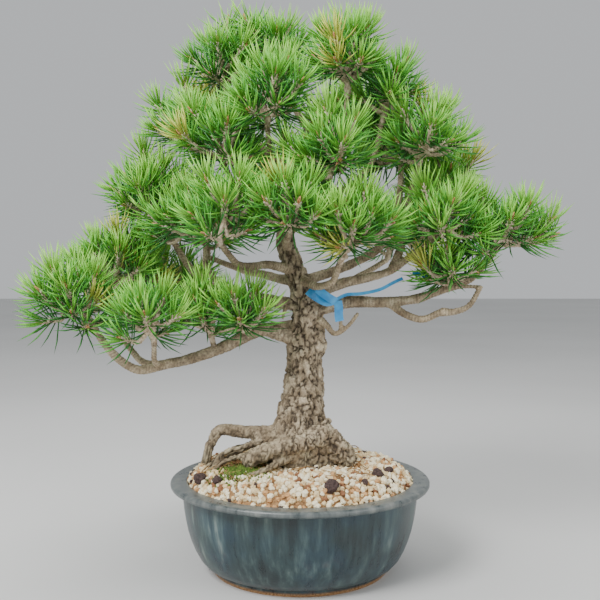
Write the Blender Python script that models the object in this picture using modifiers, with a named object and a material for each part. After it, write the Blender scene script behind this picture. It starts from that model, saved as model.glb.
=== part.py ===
"""Kotobuki Japanese black pine bonsai in its round glazed pot.

The tree stands on the flat underside of the pot, with the origin at the middle of that underside,
+Z up and the front of the tree facing -Y. Sizes below are millimetres, and become metres where a
mesh is made. Every limb is one tapering tube, and every mass of foliage keeps to its own space.
"""

import math
import random
from dataclasses import dataclass

import bmesh
import bpy
import numpy as np
from mathutils import Matrix, Vector

MM = 0.001
GAP = 0.3

# Pot and soil
RIM_RADIUS = 130.0
RIM_HEIGHT = 90.2
RIM_WIDTH = 17.4
LIP_HEIGHT = 6.2
WALL_RADIUS = 117.5
FOOT_RADIUS = 88.2
FOOT_HEIGHT = 6.0
FLOOR_THICKNESS = 14.0
TURN_STEPS = 32
SOIL_TOP = 105.0
SOIL_FLAT_RADIUS = 96.0

# Trunk
TRUNK_ROUTE = ((1, 0, 105.3), (0, 1, 146), (4, 5, 189), (7, 6, 240), (5, 8, 272), (-12, 4, 318),
               (-13, 9, 350), (-2, 14, 384), (10, 18, 416))
TRUNK_DIAMETERS = ((105, 39), (181, 38), (206, 34), (222, 41), (240, 33), (260, 32), (292, 23),
                   (350, 17), (384, 14), (416, 9))
TRUNK_SIDES = 12
TRUNK_SPACING = 13.0
FLARE_REACH = 29.0
FLARE_HEIGHT = 21.0
FLARE_START = 18.0
ROOT_RIDGES = ((200, 0.55), (262, 0.3), (342, 0.85), (40, 0.35), (118, 0.5))
ROOT_RIDGE_WIDTH = 26.0

# Roots that show above the soil
ARCH_ROOT = ((-28, -6, 134), (-58, -9, 138), (-80, -11, 139), (-89, -12, 126), (-94, -13, 106))
ARCH_ROOT_DIAMETERS = (17, 9)
FRONT_ROOT = ((22, -22, 136), (-6, -38, 130), (-34, -43, 124), (-54, -40, 114))
FRONT_ROOT_DIAMETERS = (24, 16)
RIGHT_ROOT = ((18, -16, 138), (38, -22, 124), (50, -24, 108))
RIGHT_ROOT_DIAMETERS = (28, 20)

# Limbs
LIMB_SPACING = 19.0
THICK_LIMB = 15.0
LIMB_WANDER = 1.1
TIP_RUN = 0.72

# Foliage
SPRAY_SIDES = 5
SPRAY_RINGS = 3
SPRAY_LENGTH = 24.0
SPRAY_RADIUS = 3.2
NEEDLE_LENGTH = 35.0
NEEDLE_LEANS = (74, 52, 27)
CANDLE_LENGTH = 9.0
TWIG_RADIUS = 1.7
HUB_RADIUS = 2.5
HUB_SHARE = 0.3
HEAD_SHARE = 0.54
SHORTEST_TWIG = 6.0
SHARPEST_TURN = 0.35
STEM_SIDES = 5
SPACE_MARGIN = 0.035
LIMB_CLEARANCE = 1.2
NEEDLE_CLEARANCE = 4.5
NEEDLE_SAMPLES = 6
GOLDEN_ANGLE = math.radians(137.508)


@dataclass(frozen=True)
class Limb:
    """One tapering bough: the limb that carries it, its route and its end diameters."""

    name: str
    route: tuple
    base: float
    tip: float


@dataclass(frozen=True)
class Mass:
    """One mass of foliage: the bough that feeds it, and the space that it keeps to."""

    name: str
    bough: str
    centre: tuple
    reach: tuple
    sprays: int
    from_side: bool = False


LIMBS = (
    Limb("low_left", ((2, 2, 226), (-38, -8, 239), (-84, -19, 220), (-131, -26, 207), (-158, -35, 203),
                      (-182, -42, 222), (-198, -46, 248)), 17, 7),
    Limb("low_left_rear", ((-140, -26, 205), (-158, -8, 208), (-180, 10, 229), (-200, 22, 262)), 8, 5),
    Limb("low_left_front", ((-133, -26, 207), (-138, -48, 212), (-137, -58, 230)), 7.5, 5),
    Limb("second_left", ((4, 7, 264), (-38, 15, 269), (-78, 28, 275), (-110, 37, 296), (-130, 42, 324),
                         (-142, 43, 344)), 15, 6),
    Limb("second_left_fork", ((-74, 27, 274), (-88, 14, 290), (-95, 4, 305), (-94, -6, 325)), 8, 5),
    Limb("third_left", ((-4, 5, 297), (-32, -20, 305), (-57, -45, 304), (-74, -60, 324)), 11, 6),
    Limb("rear_low_left", ((5, 8, 246), (-37, 45, 238), (-92, 76, 234), (-138, 95, 247)), 13, 6),
    Limb("upper_left", ((-12, 6, 336), (-42, 20, 364), (-82, 36, 386), (-102, 42, 408)), 11, 6),
    Limb("upper_left_fork", ((-58, 26, 374), (-68, 2, 389), (-74, -16, 402)), 8, 5),
    Limb("inner_left", ((-11, 9, 356), (-22, -14, 382), (-29, -26, 408), (-31, -30, 434)), 9, 5),
    Limb("crown_left", ((0, 15, 390), (-26, 34, 414), (-54, 39, 444), (-72, 38, 476)), 10, 5),
    Limb("crown_top", ((8, 17, 410), (11, 26, 434), (-4, 36, 464), (-16, 42, 492)), 9, 5),
    Limb("crown_right", ((-13, 7, 340), (8, -10, 352), (28, -20, 387), (40, -15, 427), (46, -10, 466)), 10, 5),
    Limb("crown_rear", ((-3, 14, 382), (16, 46, 398), (42, 84, 424), (62, 100, 446)), 9, 5),
    Limb("inner_right", ((22, -16, 375), (50, -6, 382), (72, 4, 408), (82, 4, 444)), 9, 5),
    Limb("rising_right", ((0, 7, 286), (38, 22, 300), (76, 27, 318), (100, 28, 362), (104, 27, 408)), 12, 6),
    Limb("upper_right", ((5, 8, 276), (45, -4, 286), (88, -12, 299), (122, -14, 322)), 14, 6),
    Limb("upper_right_riser", ((92, -12, 301), (104, -2, 332), (107, 1, 362), (116, -8, 398)), 9, 5),
    Limb("upper_right_rear", ((112, -14, 315), (136, 14, 328), (146, 34, 346), (152, 46, 364)), 8, 5),
    Limb("low_right", ((6, 7, 258), (45, -3, 266), (92, -10, 267), (137, -12, 278), (172, -13, 293),
                       (190, -12, 314)), 16, 6),
    Limb("low_right_loop", ((88, -9, 267), (102, -18, 255), (120, -22, 251), (137, -25, 258)), 8, 7),
    Limb("low_right_hook", ((137.8, -25.1, 258.4), (150, -27, 258), (165, -27, 265), (176, -28, 284)), 7, 5),
    Limb("front_right", ((-3, 5, 292), (18, -20, 284), (31, -38, 288), (37, -50, 304)), 10, 6),
    Limb("front_left", ((-12, 4, 322), (-13, -28, 328), (-8, -54, 338)), 10, 6),
    Limb("centre_front", ((4, -7, 351), (18, -36, 362), (26, -50, 384)), 8, 5),
    Limb("rear_left", ((-2, 7, 286), (-34, 50, 292), (-68, 84, 300), (-100, 108, 312)), 12, 6),
    Limb("rear_right", ((3, 8, 274), (36, 50, 280), (66, 84, 292), (94, 104, 308)), 12, 6),
    Limb("rear_middle", ((-14, 8, 345), (-8, 52, 358), (-2, 92, 370), (-4, 112, 388)), 10, 6),
)

MASSES = (
    Mass("far_left", "low_left", (-216, -46, 272), (62, 56, 52), 6),
    Mass("left_front", "low_left_front", (-142, -66, 256), (44, 44, 46), 4),
    Mass("left_rear", "low_left_rear", (-187, 28, 306), (62, 58, 56), 6),
    Mass("low_left_small", "low_left", (-92, -30, 258), (38, 36, 38), 3, True),
    Mass("low_left_spur", "low_left", (-56, -46, 260), (38, 36, 38), 3, True),
    Mass("left_outer", "second_left", (-158, 40, 380), (58, 60, 56), 6),
    Mass("left_middle", "second_left_fork", (-108, -14, 350), (56, 52, 52), 5),
    Mass("left_centre", "third_left", (-66, -76, 350), (54, 54, 52), 5),
    Mass("rear_low_left", "rear_low_left", (-152, 112, 286), (66, 62, 54), 5),
    Mass("upper_left", "upper_left", (-118, 40, 448), (54, 62, 56), 6),
    Mass("upper_left_front", "upper_left_fork", (-72, -30, 424), (56, 56, 54), 5),
    Mass("top_middle_front", "inner_left", (-28, -38, 468), (52, 54, 54), 5),
    Mass("top_left", "crown_left", (-82, 36, 512), (52, 60, 56), 6),
    Mass("top_middle", "crown_top", (-28, 44, 528), (56, 62, 50), 5),
    Mass("top_peak", "crown_right", (48, -8, 510), (54, 58, 54), 6),
    Mass("rear_top", "crown_rear", (62, 108, 470), (66, 60, 58), 5),
    Mass("top_right", "inner_right", (88, 2, 478), (46, 58, 56), 5),
    Mass("right_rise", "rising_right", (100, 66, 424), (54, 56, 54), 4),
    Mass("right_upper", "upper_right_riser", (120, -20, 428), (48, 56, 54), 5),
    Mass("right_rear", "upper_right_rear", (152, 56, 392), (54, 62, 56), 5),
    Mass("right_middle", "upper_right", (140, -36, 348), (54, 54, 52), 5),
    Mass("far_right", "low_right", (202, -14, 338), (60, 58, 48), 6),
    Mass("low_right_spur", "low_right", (144, -26, 302), (38, 38, 34), 3, True),
    Mass("front_right", "front_right", (48, -70, 334), (54, 56, 54), 5),
    Mass("front_left", "front_left", (-8, -84, 354), (52, 52, 52), 5),
    Mass("centre_front", "centre_front", (36, -66, 408), (56, 56, 56), 5),
    Mass("rear_left", "rear_left", (-112, 126, 356), (68, 64, 58), 5),
    Mass("rear_right", "rear_right", (112, 120, 348), (68, 64, 60), 5),
    Mass("rear_middle", "rear_middle", (-14, 136, 412), (72, 62, 66), 5),
)


def clear_scene():
    """Remove every object of the scene the script is run in."""
    for leftover in list(bpy.data.objects):
        bpy.data.objects.remove(leftover, do_unlink=True)


def new_collection(name):
    """A collection linked to the scene."""
    made = bpy.data.collections.new(name)
    bpy.context.scene.collection.children.link(made)
    return made


def finish_material(name, colour, roughness, metallic=0.0):
    """A plain Principled material."""
    made = bpy.data.materials.new(name)
    made.use_nodes = True
    shader = made.node_tree.nodes["Principled BSDF"]
    shader.inputs["Base Color"].default_value = (*colour, 1.0)
    shader.inputs["Roughness"].default_value = roughness
    shader.inputs["Metallic"].default_value = metallic
    return made


def link_mesh(name, mesh, collection, material=None):
    """An object for a mesh, in a collection."""
    made = bpy.data.objects.new(name, mesh)
    collection.objects.link(made)
    if material:
        mesh.materials.append(material)
    return made


def mesh_from(shape, name):
    """The mesh of a bmesh drawn in millimetres, in metres and with its faces pointing out."""
    bmesh.ops.recalc_face_normals(shape, faces=shape.faces)
    bmesh.ops.scale(shape, vec=(MM, MM, MM), verts=shape.verts)
    mesh = bpy.data.meshes.new(name)
    shape.to_mesh(mesh)
    shape.free()
    return mesh


def smooth_route(route, spacing):
    """Points about one spacing apart on a smooth curve through the route's own points."""
    knots = [Vector(point) for point in route]
    knots = [2 * knots[0] - knots[1], *knots, 2 * knots[-1] - knots[-2]]
    points = []
    for before, start, end, after in zip(knots, knots[1:], knots[2:], knots[3:]):
        steps = max(1, round((end - start).length / spacing))
        for step in range(steps):
            t = step / steps
            points.append(start + 0.5 * t * ((end - before)
                          + t * (2 * before - 5 * start + 4 * end - after)
                          + t * t * (3 * start - before - 3 * end + after)))
    points.append(knots[-2])
    return points


def limb_line(limb):
    """Centre points and radii of a limb, with the small wander that pine limbs have."""
    draw = random.Random(limb.name)
    points = smooth_route(limb.route, LIMB_SPACING)
    line = []
    last = len(points) - 1
    for number, point in enumerate(points):
        part = number / last
        sway = Vector([draw.uniform(-1, 1) for _ in range(3)]) * LIMB_WANDER
        free = 0 < number < last - 1
        radius = 0.5 * (limb.base + (limb.tip - limb.base) * part ** TIP_RUN)
        line.append((point + sway if free else point, radius))
    return line


def tube(name, line, collection, grow=0.0):
    """A mesh tube along a line of centre points and radii, from a bevelled curve."""
    curve = bpy.data.curves.new(name, "CURVE")
    curve.dimensions = "3D"
    curve.bevel_depth = MM
    widest = max(radius for _, radius in line)
    curve.bevel_resolution = 2 if widest * 2 >= THICK_LIMB else 1
    curve.use_fill_caps = True
    spline = curve.splines.new("POLY")
    spline.points.add(len(line) - 1)
    for spot, (point, radius) in zip(spline.points, line):
        spot.co = (*(point * MM), 1.0)
        spot.radius = radius + grow
    drawn = bpy.data.objects.new(name, curve)
    collection.objects.link(drawn)
    mesh = solid_mesh(drawn)
    made = link_mesh(name, mesh, collection)
    made.matrix_world = drawn.matrix_world
    bpy.data.objects.remove(drawn, do_unlink=True)
    made.name = name
    return made


def solid_mesh(source):
    """The evaluated mesh of an object, with its loose caps welded."""
    bpy.context.view_layer.update()
    depsgraph = bpy.context.evaluated_depsgraph_get()
    mesh = bpy.data.meshes.new_from_object(source.evaluated_get(depsgraph))
    shape = bmesh.new()
    shape.from_mesh(mesh)
    bmesh.ops.remove_doubles(shape, verts=shape.verts, dist=0.00001)
    bmesh.ops.dissolve_degenerate(shape, edges=shape.edges, dist=0.000001)
    bmesh.ops.recalc_face_normals(shape, faces=shape.faces)
    shape.to_mesh(mesh)
    shape.free()
    return mesh


def keep_largest(mesh):
    """Drop every loose scrap that a cut or a union leaves beside the main body."""
    shape = bmesh.new()
    shape.from_mesh(mesh)
    left = set(shape.verts)
    bodies = []
    while left:
        body = {left.pop()}
        edge = list(body)
        while edge:
            vert = edge.pop()
            for link in vert.link_edges:
                near = link.other_vert(vert)
                if near in left:
                    left.discard(near)
                    body.add(near)
                    edge.append(near)
        bodies.append(body)
    bodies.sort(key=len)
    for scrap in bodies[:-1]:
        bmesh.ops.delete(shape, geom=list(scrap), context="VERTS")
    shape.to_mesh(mesh)
    shape.free()


def is_closed(mesh):
    """Whether every edge of a mesh lies between exactly two faces."""
    shape = bmesh.new()
    shape.from_mesh(mesh)
    closed = all(len(edge.link_faces) == 2 for edge in shape.edges)
    shape.free()
    return closed


def apply_boolean(target, operation, cutter=None, group=None):
    """Cut or join a mesh object for good, and drop the scraps.

    The Manifold solver takes over where the Exact one leaves a seam open.
    """
    modifier = target.modifiers.new("Join", "BOOLEAN")
    modifier.operation = operation
    if group:
        modifier.operand_type = "COLLECTION"
        modifier.collection = group
    else:
        modifier.object = cutter
    for solver in ("EXACT", "MANIFOLD"):
        modifier.solver = solver
        mesh = solid_mesh(target)
        keep_largest(mesh)
        if is_closed(mesh):
            break
    target.modifiers.clear()
    old = target.data
    target.data = mesh
    bpy.data.meshes.remove(old)


def boxes_meet(first, second):
    """Whether the boxes of two mesh objects at rest overlap."""
    corners = [[corner for corner in np.array([vertex.co[:] for vertex in thing.data.vertices]).T]
               for thing in (first, second)]
    return all(a.min() <= b.max() and b.min() <= a.max() for a, b in zip(*corners))


def turned(name, profile, collection, material):
    """A closed profile of radius and height points turned about Z."""
    shape = bmesh.new()
    verts = [shape.verts.new((radius, 0.0, height)) for radius, height in profile]
    for start, end in zip(verts, verts[1:]):
        shape.edges.new((start, end))
    mesh = bpy.data.meshes.new(name)
    bmesh.ops.scale(shape, vec=(MM, MM, MM), verts=shape.verts)
    shape.to_mesh(mesh)
    shape.free()
    made = link_mesh(name, mesh, collection, material)
    screw = made.modifiers.new("Turn", "SCREW")
    screw.axis = "Z"
    screw.steps = screw.render_steps = TURN_STEPS
    screw.use_merge_vertices = True
    screw.merge_threshold = 0.0001
    screw.use_normal_calculate = True
    return made


def inner_wall(clearance):
    """The inner profile of the pot from rim to floor, drawn in by a clearance."""
    inside = RIM_RADIUS - RIM_WIDTH - clearance
    return [(inside, RIM_HEIGHT), (inside - 0.6, 78.0), (inside - 3.5, 50.0), (inside - 13.0, 24.0),
            (inside - 34.0, FLOOR_THICKNESS + clearance), (0.0, FLOOR_THICKNESS + clearance)]


def make_pot(collection, material):
    """A round bowl with a rolled lip and a narrow foot band, flat underneath."""
    under_lip = RIM_HEIGHT - LIP_HEIGHT
    outside = [(RIM_RADIUS - 2.2, RIM_HEIGHT), (RIM_RADIUS, RIM_HEIGHT - 2.4),
               (RIM_RADIUS - 1.0, under_lip + 0.6), (WALL_RADIUS + 1.2, under_lip - 0.6),
               (WALL_RADIUS - 0.3, 70.0), (WALL_RADIUS - 3.6, 48.0), (WALL_RADIUS - 9.0, 30.0),
               (WALL_RADIUS - 17.0, 14.0), (FOOT_RADIUS + 3.0, FOOT_HEIGHT + 0.8),
               (FOOT_RADIUS + 0.6, FOOT_HEIGHT), (FOOT_RADIUS, 0.0), (0.0, 0.0)]
    profile = list(reversed(inner_wall(0.0))) + outside
    return turned("pot", profile, collection, material)


def make_soil(collection, material):
    """The filling of the pot, heaped a little above the rim."""
    edge = RIM_RADIUS - RIM_WIDTH - GAP
    top = [(0.0, SOIL_TOP), (SOIL_FLAT_RADIUS, SOIL_TOP), (SOIL_FLAT_RADIUS + 9.0, SOIL_TOP - 6.5),
           (edge - 0.4, 87.5)]
    return turned("soil", top + inner_wall(GAP)[1:], collection, material)


def trunk_radius(height):
    """Radius of the trunk's shaft at a height, from its measured diameters."""
    heights, diameters = zip(*TRUNK_DIAMETERS)
    return 0.5 * float(np.interp(height, heights, diameters))


def trunk_line():
    """Centre points of the trunk and the radius of its shaft at each."""
    return [(point, trunk_radius(point.z)) for point in smooth_route(TRUNK_ROUTE, TRUNK_SPACING)]


def root_ridge(angle):
    """How far the root ridges stand out in a direction, given in degrees."""
    swell = 0.0
    for heading, strength in ROOT_RIDGES:
        away = (angle - heading + 180.0) % 360.0 - 180.0
        swell += strength * math.exp(-(away / ROOT_RIDGE_WIDTH) ** 2)
    return swell


def trunk_mesh(name, grow=0.0):
    """A loft up the trunk, whose sections swell and break into root ridges at the soil."""
    shape = bmesh.new()
    rings = []
    for point, radius in trunk_line():
        rise = point.z - TRUNK_ROUTE[0][2]
        flare = FLARE_REACH * math.exp(-max(0.0, rise - FLARE_START) / FLARE_HEIGHT)
        ring = []
        for side in range(TRUNK_SIDES):
            angle = 360.0 * side / TRUNK_SIDES
            reach = radius + grow + flare * (0.55 + 0.6 * root_ridge(angle))
            turn = math.radians(angle)
            ring.append(shape.verts.new(point + Vector((reach * math.cos(turn), reach * math.sin(turn), 0))))
        rings.append(ring)
    for low, high in zip(rings, rings[1:]):
        for side in range(TRUNK_SIDES):
            after = (side + 1) % TRUNK_SIDES
            shape.faces.new((low[side], low[after], high[after], high[side]))
    shape.faces.new(rings[0])
    shape.faces.new(rings[-1])
    return mesh_from(shape, name)


def tapered(route, diameters):
    """Centre points and radii of a root that tapers from one diameter to another."""
    points = smooth_route(route, LIMB_SPACING)
    start, end = diameters
    last = len(points) - 1
    return [(point, 0.5 * (start + (end - start) * number / last)) for number, point in enumerate(points)]


def make_trunk(collection, cutters, material):
    """The trunk with its surface roots, cut flat just above the soil."""
    trunk = link_mesh("trunk", trunk_mesh("trunk"), collection)
    for name, route, diameters in (("arch_root", ARCH_ROOT, ARCH_ROOT_DIAMETERS),
                                   ("front_root", FRONT_ROOT, FRONT_ROOT_DIAMETERS),
                                   ("right_root", RIGHT_ROOT, RIGHT_ROOT_DIAMETERS)):
        root = tube(name, tapered(route, diameters), cutters)
        apply_boolean(trunk, "UNION", root)
        bpy.data.objects.remove(root, do_unlink=True)
    depth = 40.0
    bpy.ops.mesh.primitive_cube_add(size=1.0, location=(0, 0, (SOIL_TOP + GAP - depth / 2) * MM))
    ground = bpy.context.active_object
    ground.scale = (0.4, 0.4, depth * MM)
    apply_boolean(trunk, "DIFFERENCE", ground)
    bpy.data.objects.remove(ground, do_unlink=True)
    trunk.data.materials.append(material)
    return trunk


def make_boughs(collection, cutters, material):
    """Every bough as a tube, cut 0.3 mm clear of the trunk and of the limbs made before it."""
    made = []
    grown = [link_mesh("trunk_clearance", trunk_mesh("trunk_clearance", GAP), cutters)]
    for limb in LIMBS:
        line = limb_line(limb)
        bough = tube("bough_" + limb.name, line, collection)
        for cutter in grown:
            if boxes_meet(bough, cutter):
                apply_boolean(bough, "DIFFERENCE", cutter)
        bough.data.materials.append(material)
        grown.append(tube(limb.name + "_clearance", line, cutters, GAP))
        made.append(bough)
    for cutter in grown:
        bpy.data.objects.remove(cutter, do_unlink=True)
    return made


class Crown:
    """The spaces of the masses, and what the twigs and needles in them keep clear of."""

    def __init__(self):
        """Gather the centres and reaches of the spaces, and the limbs as short straight runs."""
        self.centres = np.array([mass.centre for mass in MASSES], float)
        self.reaches = np.array([mass.reach for mass in MASSES], float)
        runs = []
        for line in [trunk_line()] + [limb_line(limb) for limb in LIMBS]:
            runs += [(*start, *end, max(r0, r1)) for (start, r0), (end, r1) in zip(line, line[1:])]
        runs = np.array(runs)
        self.starts, self.ends, self.radii = runs[:, 0:3], runs[:, 3:6], runs[:, 6]

    def inside(self, number, points):
        """Whether every point lies in the space of one mass, away from the neighbours' spaces."""
        points = np.array(points, float)
        shares = np.linalg.norm((points[:, None] - self.centres) / self.reaches, axis=2)
        own = shares[:, number].copy()
        shares[:, number] = np.inf
        return bool(np.all(own < 1.0) and np.all(own + SPACE_MARGIN < shares.min(axis=1)))

    def clear(self, points):
        """Whether every point keeps clear of the trunk and the boughs."""
        points = np.array(points, float)[:, None]
        along = self.ends - self.starts
        share = ((points - self.starts) * along).sum(axis=2) / (along * along).sum(axis=1)
        nearest = self.starts + np.clip(share, 0.0, 1.0)[:, :, None] * along
        away = np.linalg.norm(points - nearest, axis=2) - self.radii
        return bool(away.min() > LIMB_CLEARANCE)


def spread(number, count):
    """A direction for one shoot of a mass, by the golden angle over a dome open below."""
    height = 0.95 - 1.35 * (number + 0.5) / count
    flat = math.sqrt(1.0 - height * height)
    return Vector((flat * math.cos(number * GOLDEN_ANGLE), flat * math.sin(number * GOLDEN_ANGLE), height))


def frame_along(point, axis, turn):
    """A placement whose Z runs along an axis from a point, turned about it."""
    return Matrix.Translation(point) @ axis.to_track_quat("Z", "Y").to_matrix().to_4x4() \
        @ Matrix.Rotation(turn, 4, "Z")


def lengthen(shape, face, end, radius):
    """Draw an end face of a round piece out to a new end of a given radius."""
    drawn = bmesh.ops.extrude_face_region(shape, geom=[face])["geom"]
    bmesh.ops.delete(shape, geom=[face], context="FACES_ONLY")
    corners = [item for item in drawn if isinstance(item, bmesh.types.BMVert)]
    middle = sum((corner.co for corner in corners), Vector()) / len(corners)
    for corner in corners:
        corner.co = end + (corner.co - middle).normalized() * radius


def end_face(shape, top):
    """The flat end of an upright round piece, at its top or at its bottom."""
    ends = sorted(shape.faces, key=lambda face: face.calc_center_median().z)
    return ends[-1] if top else ends[0]


def stem_piece(name, start, bend, hub, radius, collection):
    """The stem of a mass: a short length in line with its bough, then a bend to the hub."""
    shape = bmesh.new()
    axis = bend - start
    bmesh.ops.create_cone(shape, cap_ends=True, segments=STEM_SIDES, radius1=radius, radius2=HUB_RADIUS,
                          depth=axis.length)
    placed = frame_along((start + bend) / 2, axis, 0.0)
    lengthen(shape, end_face(shape, True), placed.inverted() @ hub, HUB_RADIUS)
    bmesh.ops.transform(shape, matrix=placed, verts=shape.verts)
    return link_mesh(name, mesh_from(shape, name), collection)


def needle_spray(name, root, start, axis, draw, keep, others, collection):
    """A twig that ends in a slim core, with needles drawn out of the core's faces.

    A needle that would leave the space, touch a limb or cross another spray's needle is skipped.
    """
    shape = bmesh.new()
    placed = frame_along(start + axis * (SPRAY_LENGTH / 2), axis, draw.uniform(0, math.tau))
    bmesh.ops.create_cone(shape, cap_ends=True, segments=SPRAY_SIDES, radius1=SPRAY_RADIUS,
                          radius2=SPRAY_RADIUS * 0.7, depth=SPRAY_LENGTH)
    upright = [edge for edge in shape.edges if abs(edge.verts[0].co.z - edge.verts[1].co.z) > 1.0]
    bmesh.ops.subdivide_edges(shape, edges=upright, cuts=SPRAY_RINGS - 1)
    sides = [face for face in shape.faces if abs(face.normal.z) < 0.8]
    sides.sort(key=lambda face: (round(face.calc_center_median().z, 2),
                                 round(math.atan2(*face.calc_center_median().yx), 3)))
    own = []
    for number, face in enumerate(sides):
        middle = face.calc_center_median()
        lean = math.radians(NEEDLE_LEANS[number // SPRAY_SIDES] + draw.uniform(-8, 8))
        length = NEEDLE_LENGTH * draw.uniform(0.88, 1.08)
        out = Vector((middle.x, middle.y, 0)).normalized()
        tip = middle + (out * math.sin(lean) + Vector((0, 0, 1)) * math.cos(lean)) * length
        steps = [placed @ middle.lerp(tip, (1 + step) / NEEDLE_SAMPLES) for step in range(NEEDLE_SAMPLES)]
        if keep(steps) and not crosses(steps, others):
            own += steps
            poked = bmesh.ops.poke(shape, faces=[face])
            poked["verts"][0].co = tip
    lengthen(shape, end_face(shape, False), placed.inverted() @ root, TWIG_RADIUS)
    candle = bmesh.ops.poke(shape, faces=[end_cap(shape)])
    candle["verts"][0].co.z += CANDLE_LENGTH
    bmesh.ops.transform(shape, matrix=placed, verts=shape.verts)
    others += own
    return link_mesh(name, mesh_from(shape, name), collection)


def end_cap(shape):
    """The flat cap with one corner for each side of a spray, at its tip."""
    caps = [face for face in shape.faces if len(face.verts) == SPRAY_SIDES]
    return max(caps, key=lambda face: face.calc_center_median().z)


def crosses(points, others):
    """Whether any point comes too near to one of the points that are taken."""
    if not others:
        return False
    away = np.array(points)[:, None] - np.array(others)
    return bool(np.linalg.norm(away, axis=2).min() < NEEDLE_CLEARANCE)


def stem_start(mass):
    """Where the stem of a mass begins, which way it heads, and how thick it is."""
    limb = next(limb for limb in LIMBS if limb.name == mass.bough)
    line = limb_line(limb)
    centre = Vector(mass.centre)
    tip, radius = line[-1]
    if not mass.from_side:
        axis = (tip - line[-2][0]).normalized()
        return tip + axis * GAP, axis, radius
    point, radius = min(line, key=lambda spot: (spot[0] - centre).length)
    axis = (centre - point).normalized()
    return point + axis * (radius + GAP + 0.6), axis, TWIG_RADIUS * 1.4


def make_mass(number, mass, crown, collection, material):
    """Twigs from one stem by a seeded rule, with sprays of needles fused to their ends."""
    draw = random.Random(mass.name)
    group = new_collection("union_" + mass.name)
    centre = Vector(mass.centre)
    start, axis, radius = stem_start(mass)
    reach = Vector(mass.reach)
    bend = start + axis * max(4.0, radius * 1.5)
    way_in = centre - bend
    hub = bend + way_in * HUB_SHARE if way_in.length > 12.0 else bend + axis * 4.0
    stem = stem_piece("foliage_" + mass.name, start, bend, hub, radius * 0.96, collection)
    root = hub - (hub - bend).normalized() * 1.8

    def keep(points):
        return crown.inside(number, points) and crown.clear(points)

    shoots = []
    taken = []
    for index in range(mass.sprays):
        way = spread(index, mass.sprays)
        jitter = Vector([draw.uniform(-0.16, 0.16) for _ in range(3)])
        way = (way + jitter).normalized()
        head = centre + Vector([w * r for w, r in zip(way, reach)]) * HEAD_SHARE
        shoot = ((head - hub).normalized() + way * 0.35 + Vector((0, 0, 0.3))).normalized()
        foot = head - shoot * (SPRAY_LENGTH * 0.9)
        if (foot - root).length < SHORTEST_TWIG or (foot - root).normalized().dot(shoot) < SHARPEST_TURN:
            continue
        run = [hub.lerp(foot, part) for part in (0.35, 0.7, 1.0)] + [foot.lerp(head, 0.5), head]
        if keep(run):
            shoots.append((foot, shoot))
            taken += run
    for foot, shoot in shoots:
        needle_spray("spray", root, foot, shoot, draw, keep, taken, group)
    apply_boolean(stem, "UNION", group=group)
    for piece in list(group.objects):
        bpy.data.objects.remove(piece, do_unlink=True)
    bpy.data.collections.remove(group)
    stem.data.materials.append(material)
    return stem


def main():
    """Build the whole tree in its pot."""
    clear_scene()
    parts = new_collection("black_pine_bonsai")
    cutters = new_collection("cutters")
    glaze = finish_material("glazed_stoneware", (0.06, 0.10, 0.11), 0.35)
    pumice = finish_material("pumice_soil", (0.60, 0.47, 0.29), 0.9)
    bark = finish_material("pine_bark", (0.24, 0.18, 0.12), 0.85)
    needles = finish_material("pine_needles", (0.07, 0.24, 0.05), 0.5)
    make_pot(parts, glaze)
    make_soil(parts, pumice)
    make_trunk(parts, cutters, bark)
    make_boughs(parts, cutters, bark)
    crown = Crown()
    for number, mass in enumerate(MASSES):
        make_mass(number, mass, crown, parts, needles)
    bpy.data.collections.remove(cutters)


main()
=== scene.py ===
"""Kotobuki Japanese black pine bonsai in a round glazed pot: the finished surfaces.

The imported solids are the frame. The trunk and boughs get a mesh with the bark's relief, each mass of
foliage grows on from its bough by the same seeded rule as the solids and is carried to finer twigs,
and the pot, its grit, moss and tape are made as finished pieces. Sizes are millimetres in the tables
and metres in the meshes.
"""

import logging
import math
import random
from collections.abc import Callable
from dataclasses import dataclass, field
from enum import Enum
from functools import partial

import bmesh
import bpy
import numpy as np
from mathutils import Matrix, Vector, noise


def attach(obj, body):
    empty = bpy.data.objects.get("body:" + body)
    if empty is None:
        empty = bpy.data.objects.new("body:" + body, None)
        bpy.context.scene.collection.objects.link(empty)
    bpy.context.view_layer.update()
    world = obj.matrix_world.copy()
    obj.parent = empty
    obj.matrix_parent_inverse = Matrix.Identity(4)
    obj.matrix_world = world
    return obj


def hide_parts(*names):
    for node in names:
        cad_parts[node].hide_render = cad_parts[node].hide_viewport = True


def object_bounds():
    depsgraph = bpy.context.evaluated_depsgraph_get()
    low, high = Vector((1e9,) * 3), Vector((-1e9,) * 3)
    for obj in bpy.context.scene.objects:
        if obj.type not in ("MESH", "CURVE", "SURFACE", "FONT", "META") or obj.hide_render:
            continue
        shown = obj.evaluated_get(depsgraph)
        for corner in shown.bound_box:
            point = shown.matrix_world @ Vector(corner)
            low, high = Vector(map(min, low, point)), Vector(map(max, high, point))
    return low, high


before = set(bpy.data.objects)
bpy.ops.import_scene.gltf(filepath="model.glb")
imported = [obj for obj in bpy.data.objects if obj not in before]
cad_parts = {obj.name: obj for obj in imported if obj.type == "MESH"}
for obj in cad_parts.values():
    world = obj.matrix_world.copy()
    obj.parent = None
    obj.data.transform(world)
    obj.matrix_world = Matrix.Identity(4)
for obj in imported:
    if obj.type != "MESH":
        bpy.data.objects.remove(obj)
CAD_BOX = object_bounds()

LOG = logging.getLogger("black_pine")
MM = 0.001
GOLDEN_ANGLE = math.radians(137.508)
PIECE_TRIANGLES = 190_000
BLOCK = 4000
UP = Vector((0.0, 0.0, 1.0))
Point = tuple[float, float, float]
Node = bpy.types.Node
Socket = bpy.types.NodeSocket
AddNode = Callable[..., Node]

RIM_RADIUS = 130.0
RIM_HEIGHT = 90.2
RIM_WIDTH = 17.4
WALL_RADIUS = 117.5
FOOT_RADIUS = 88.2
SOIL_TOP = 105.0


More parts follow.
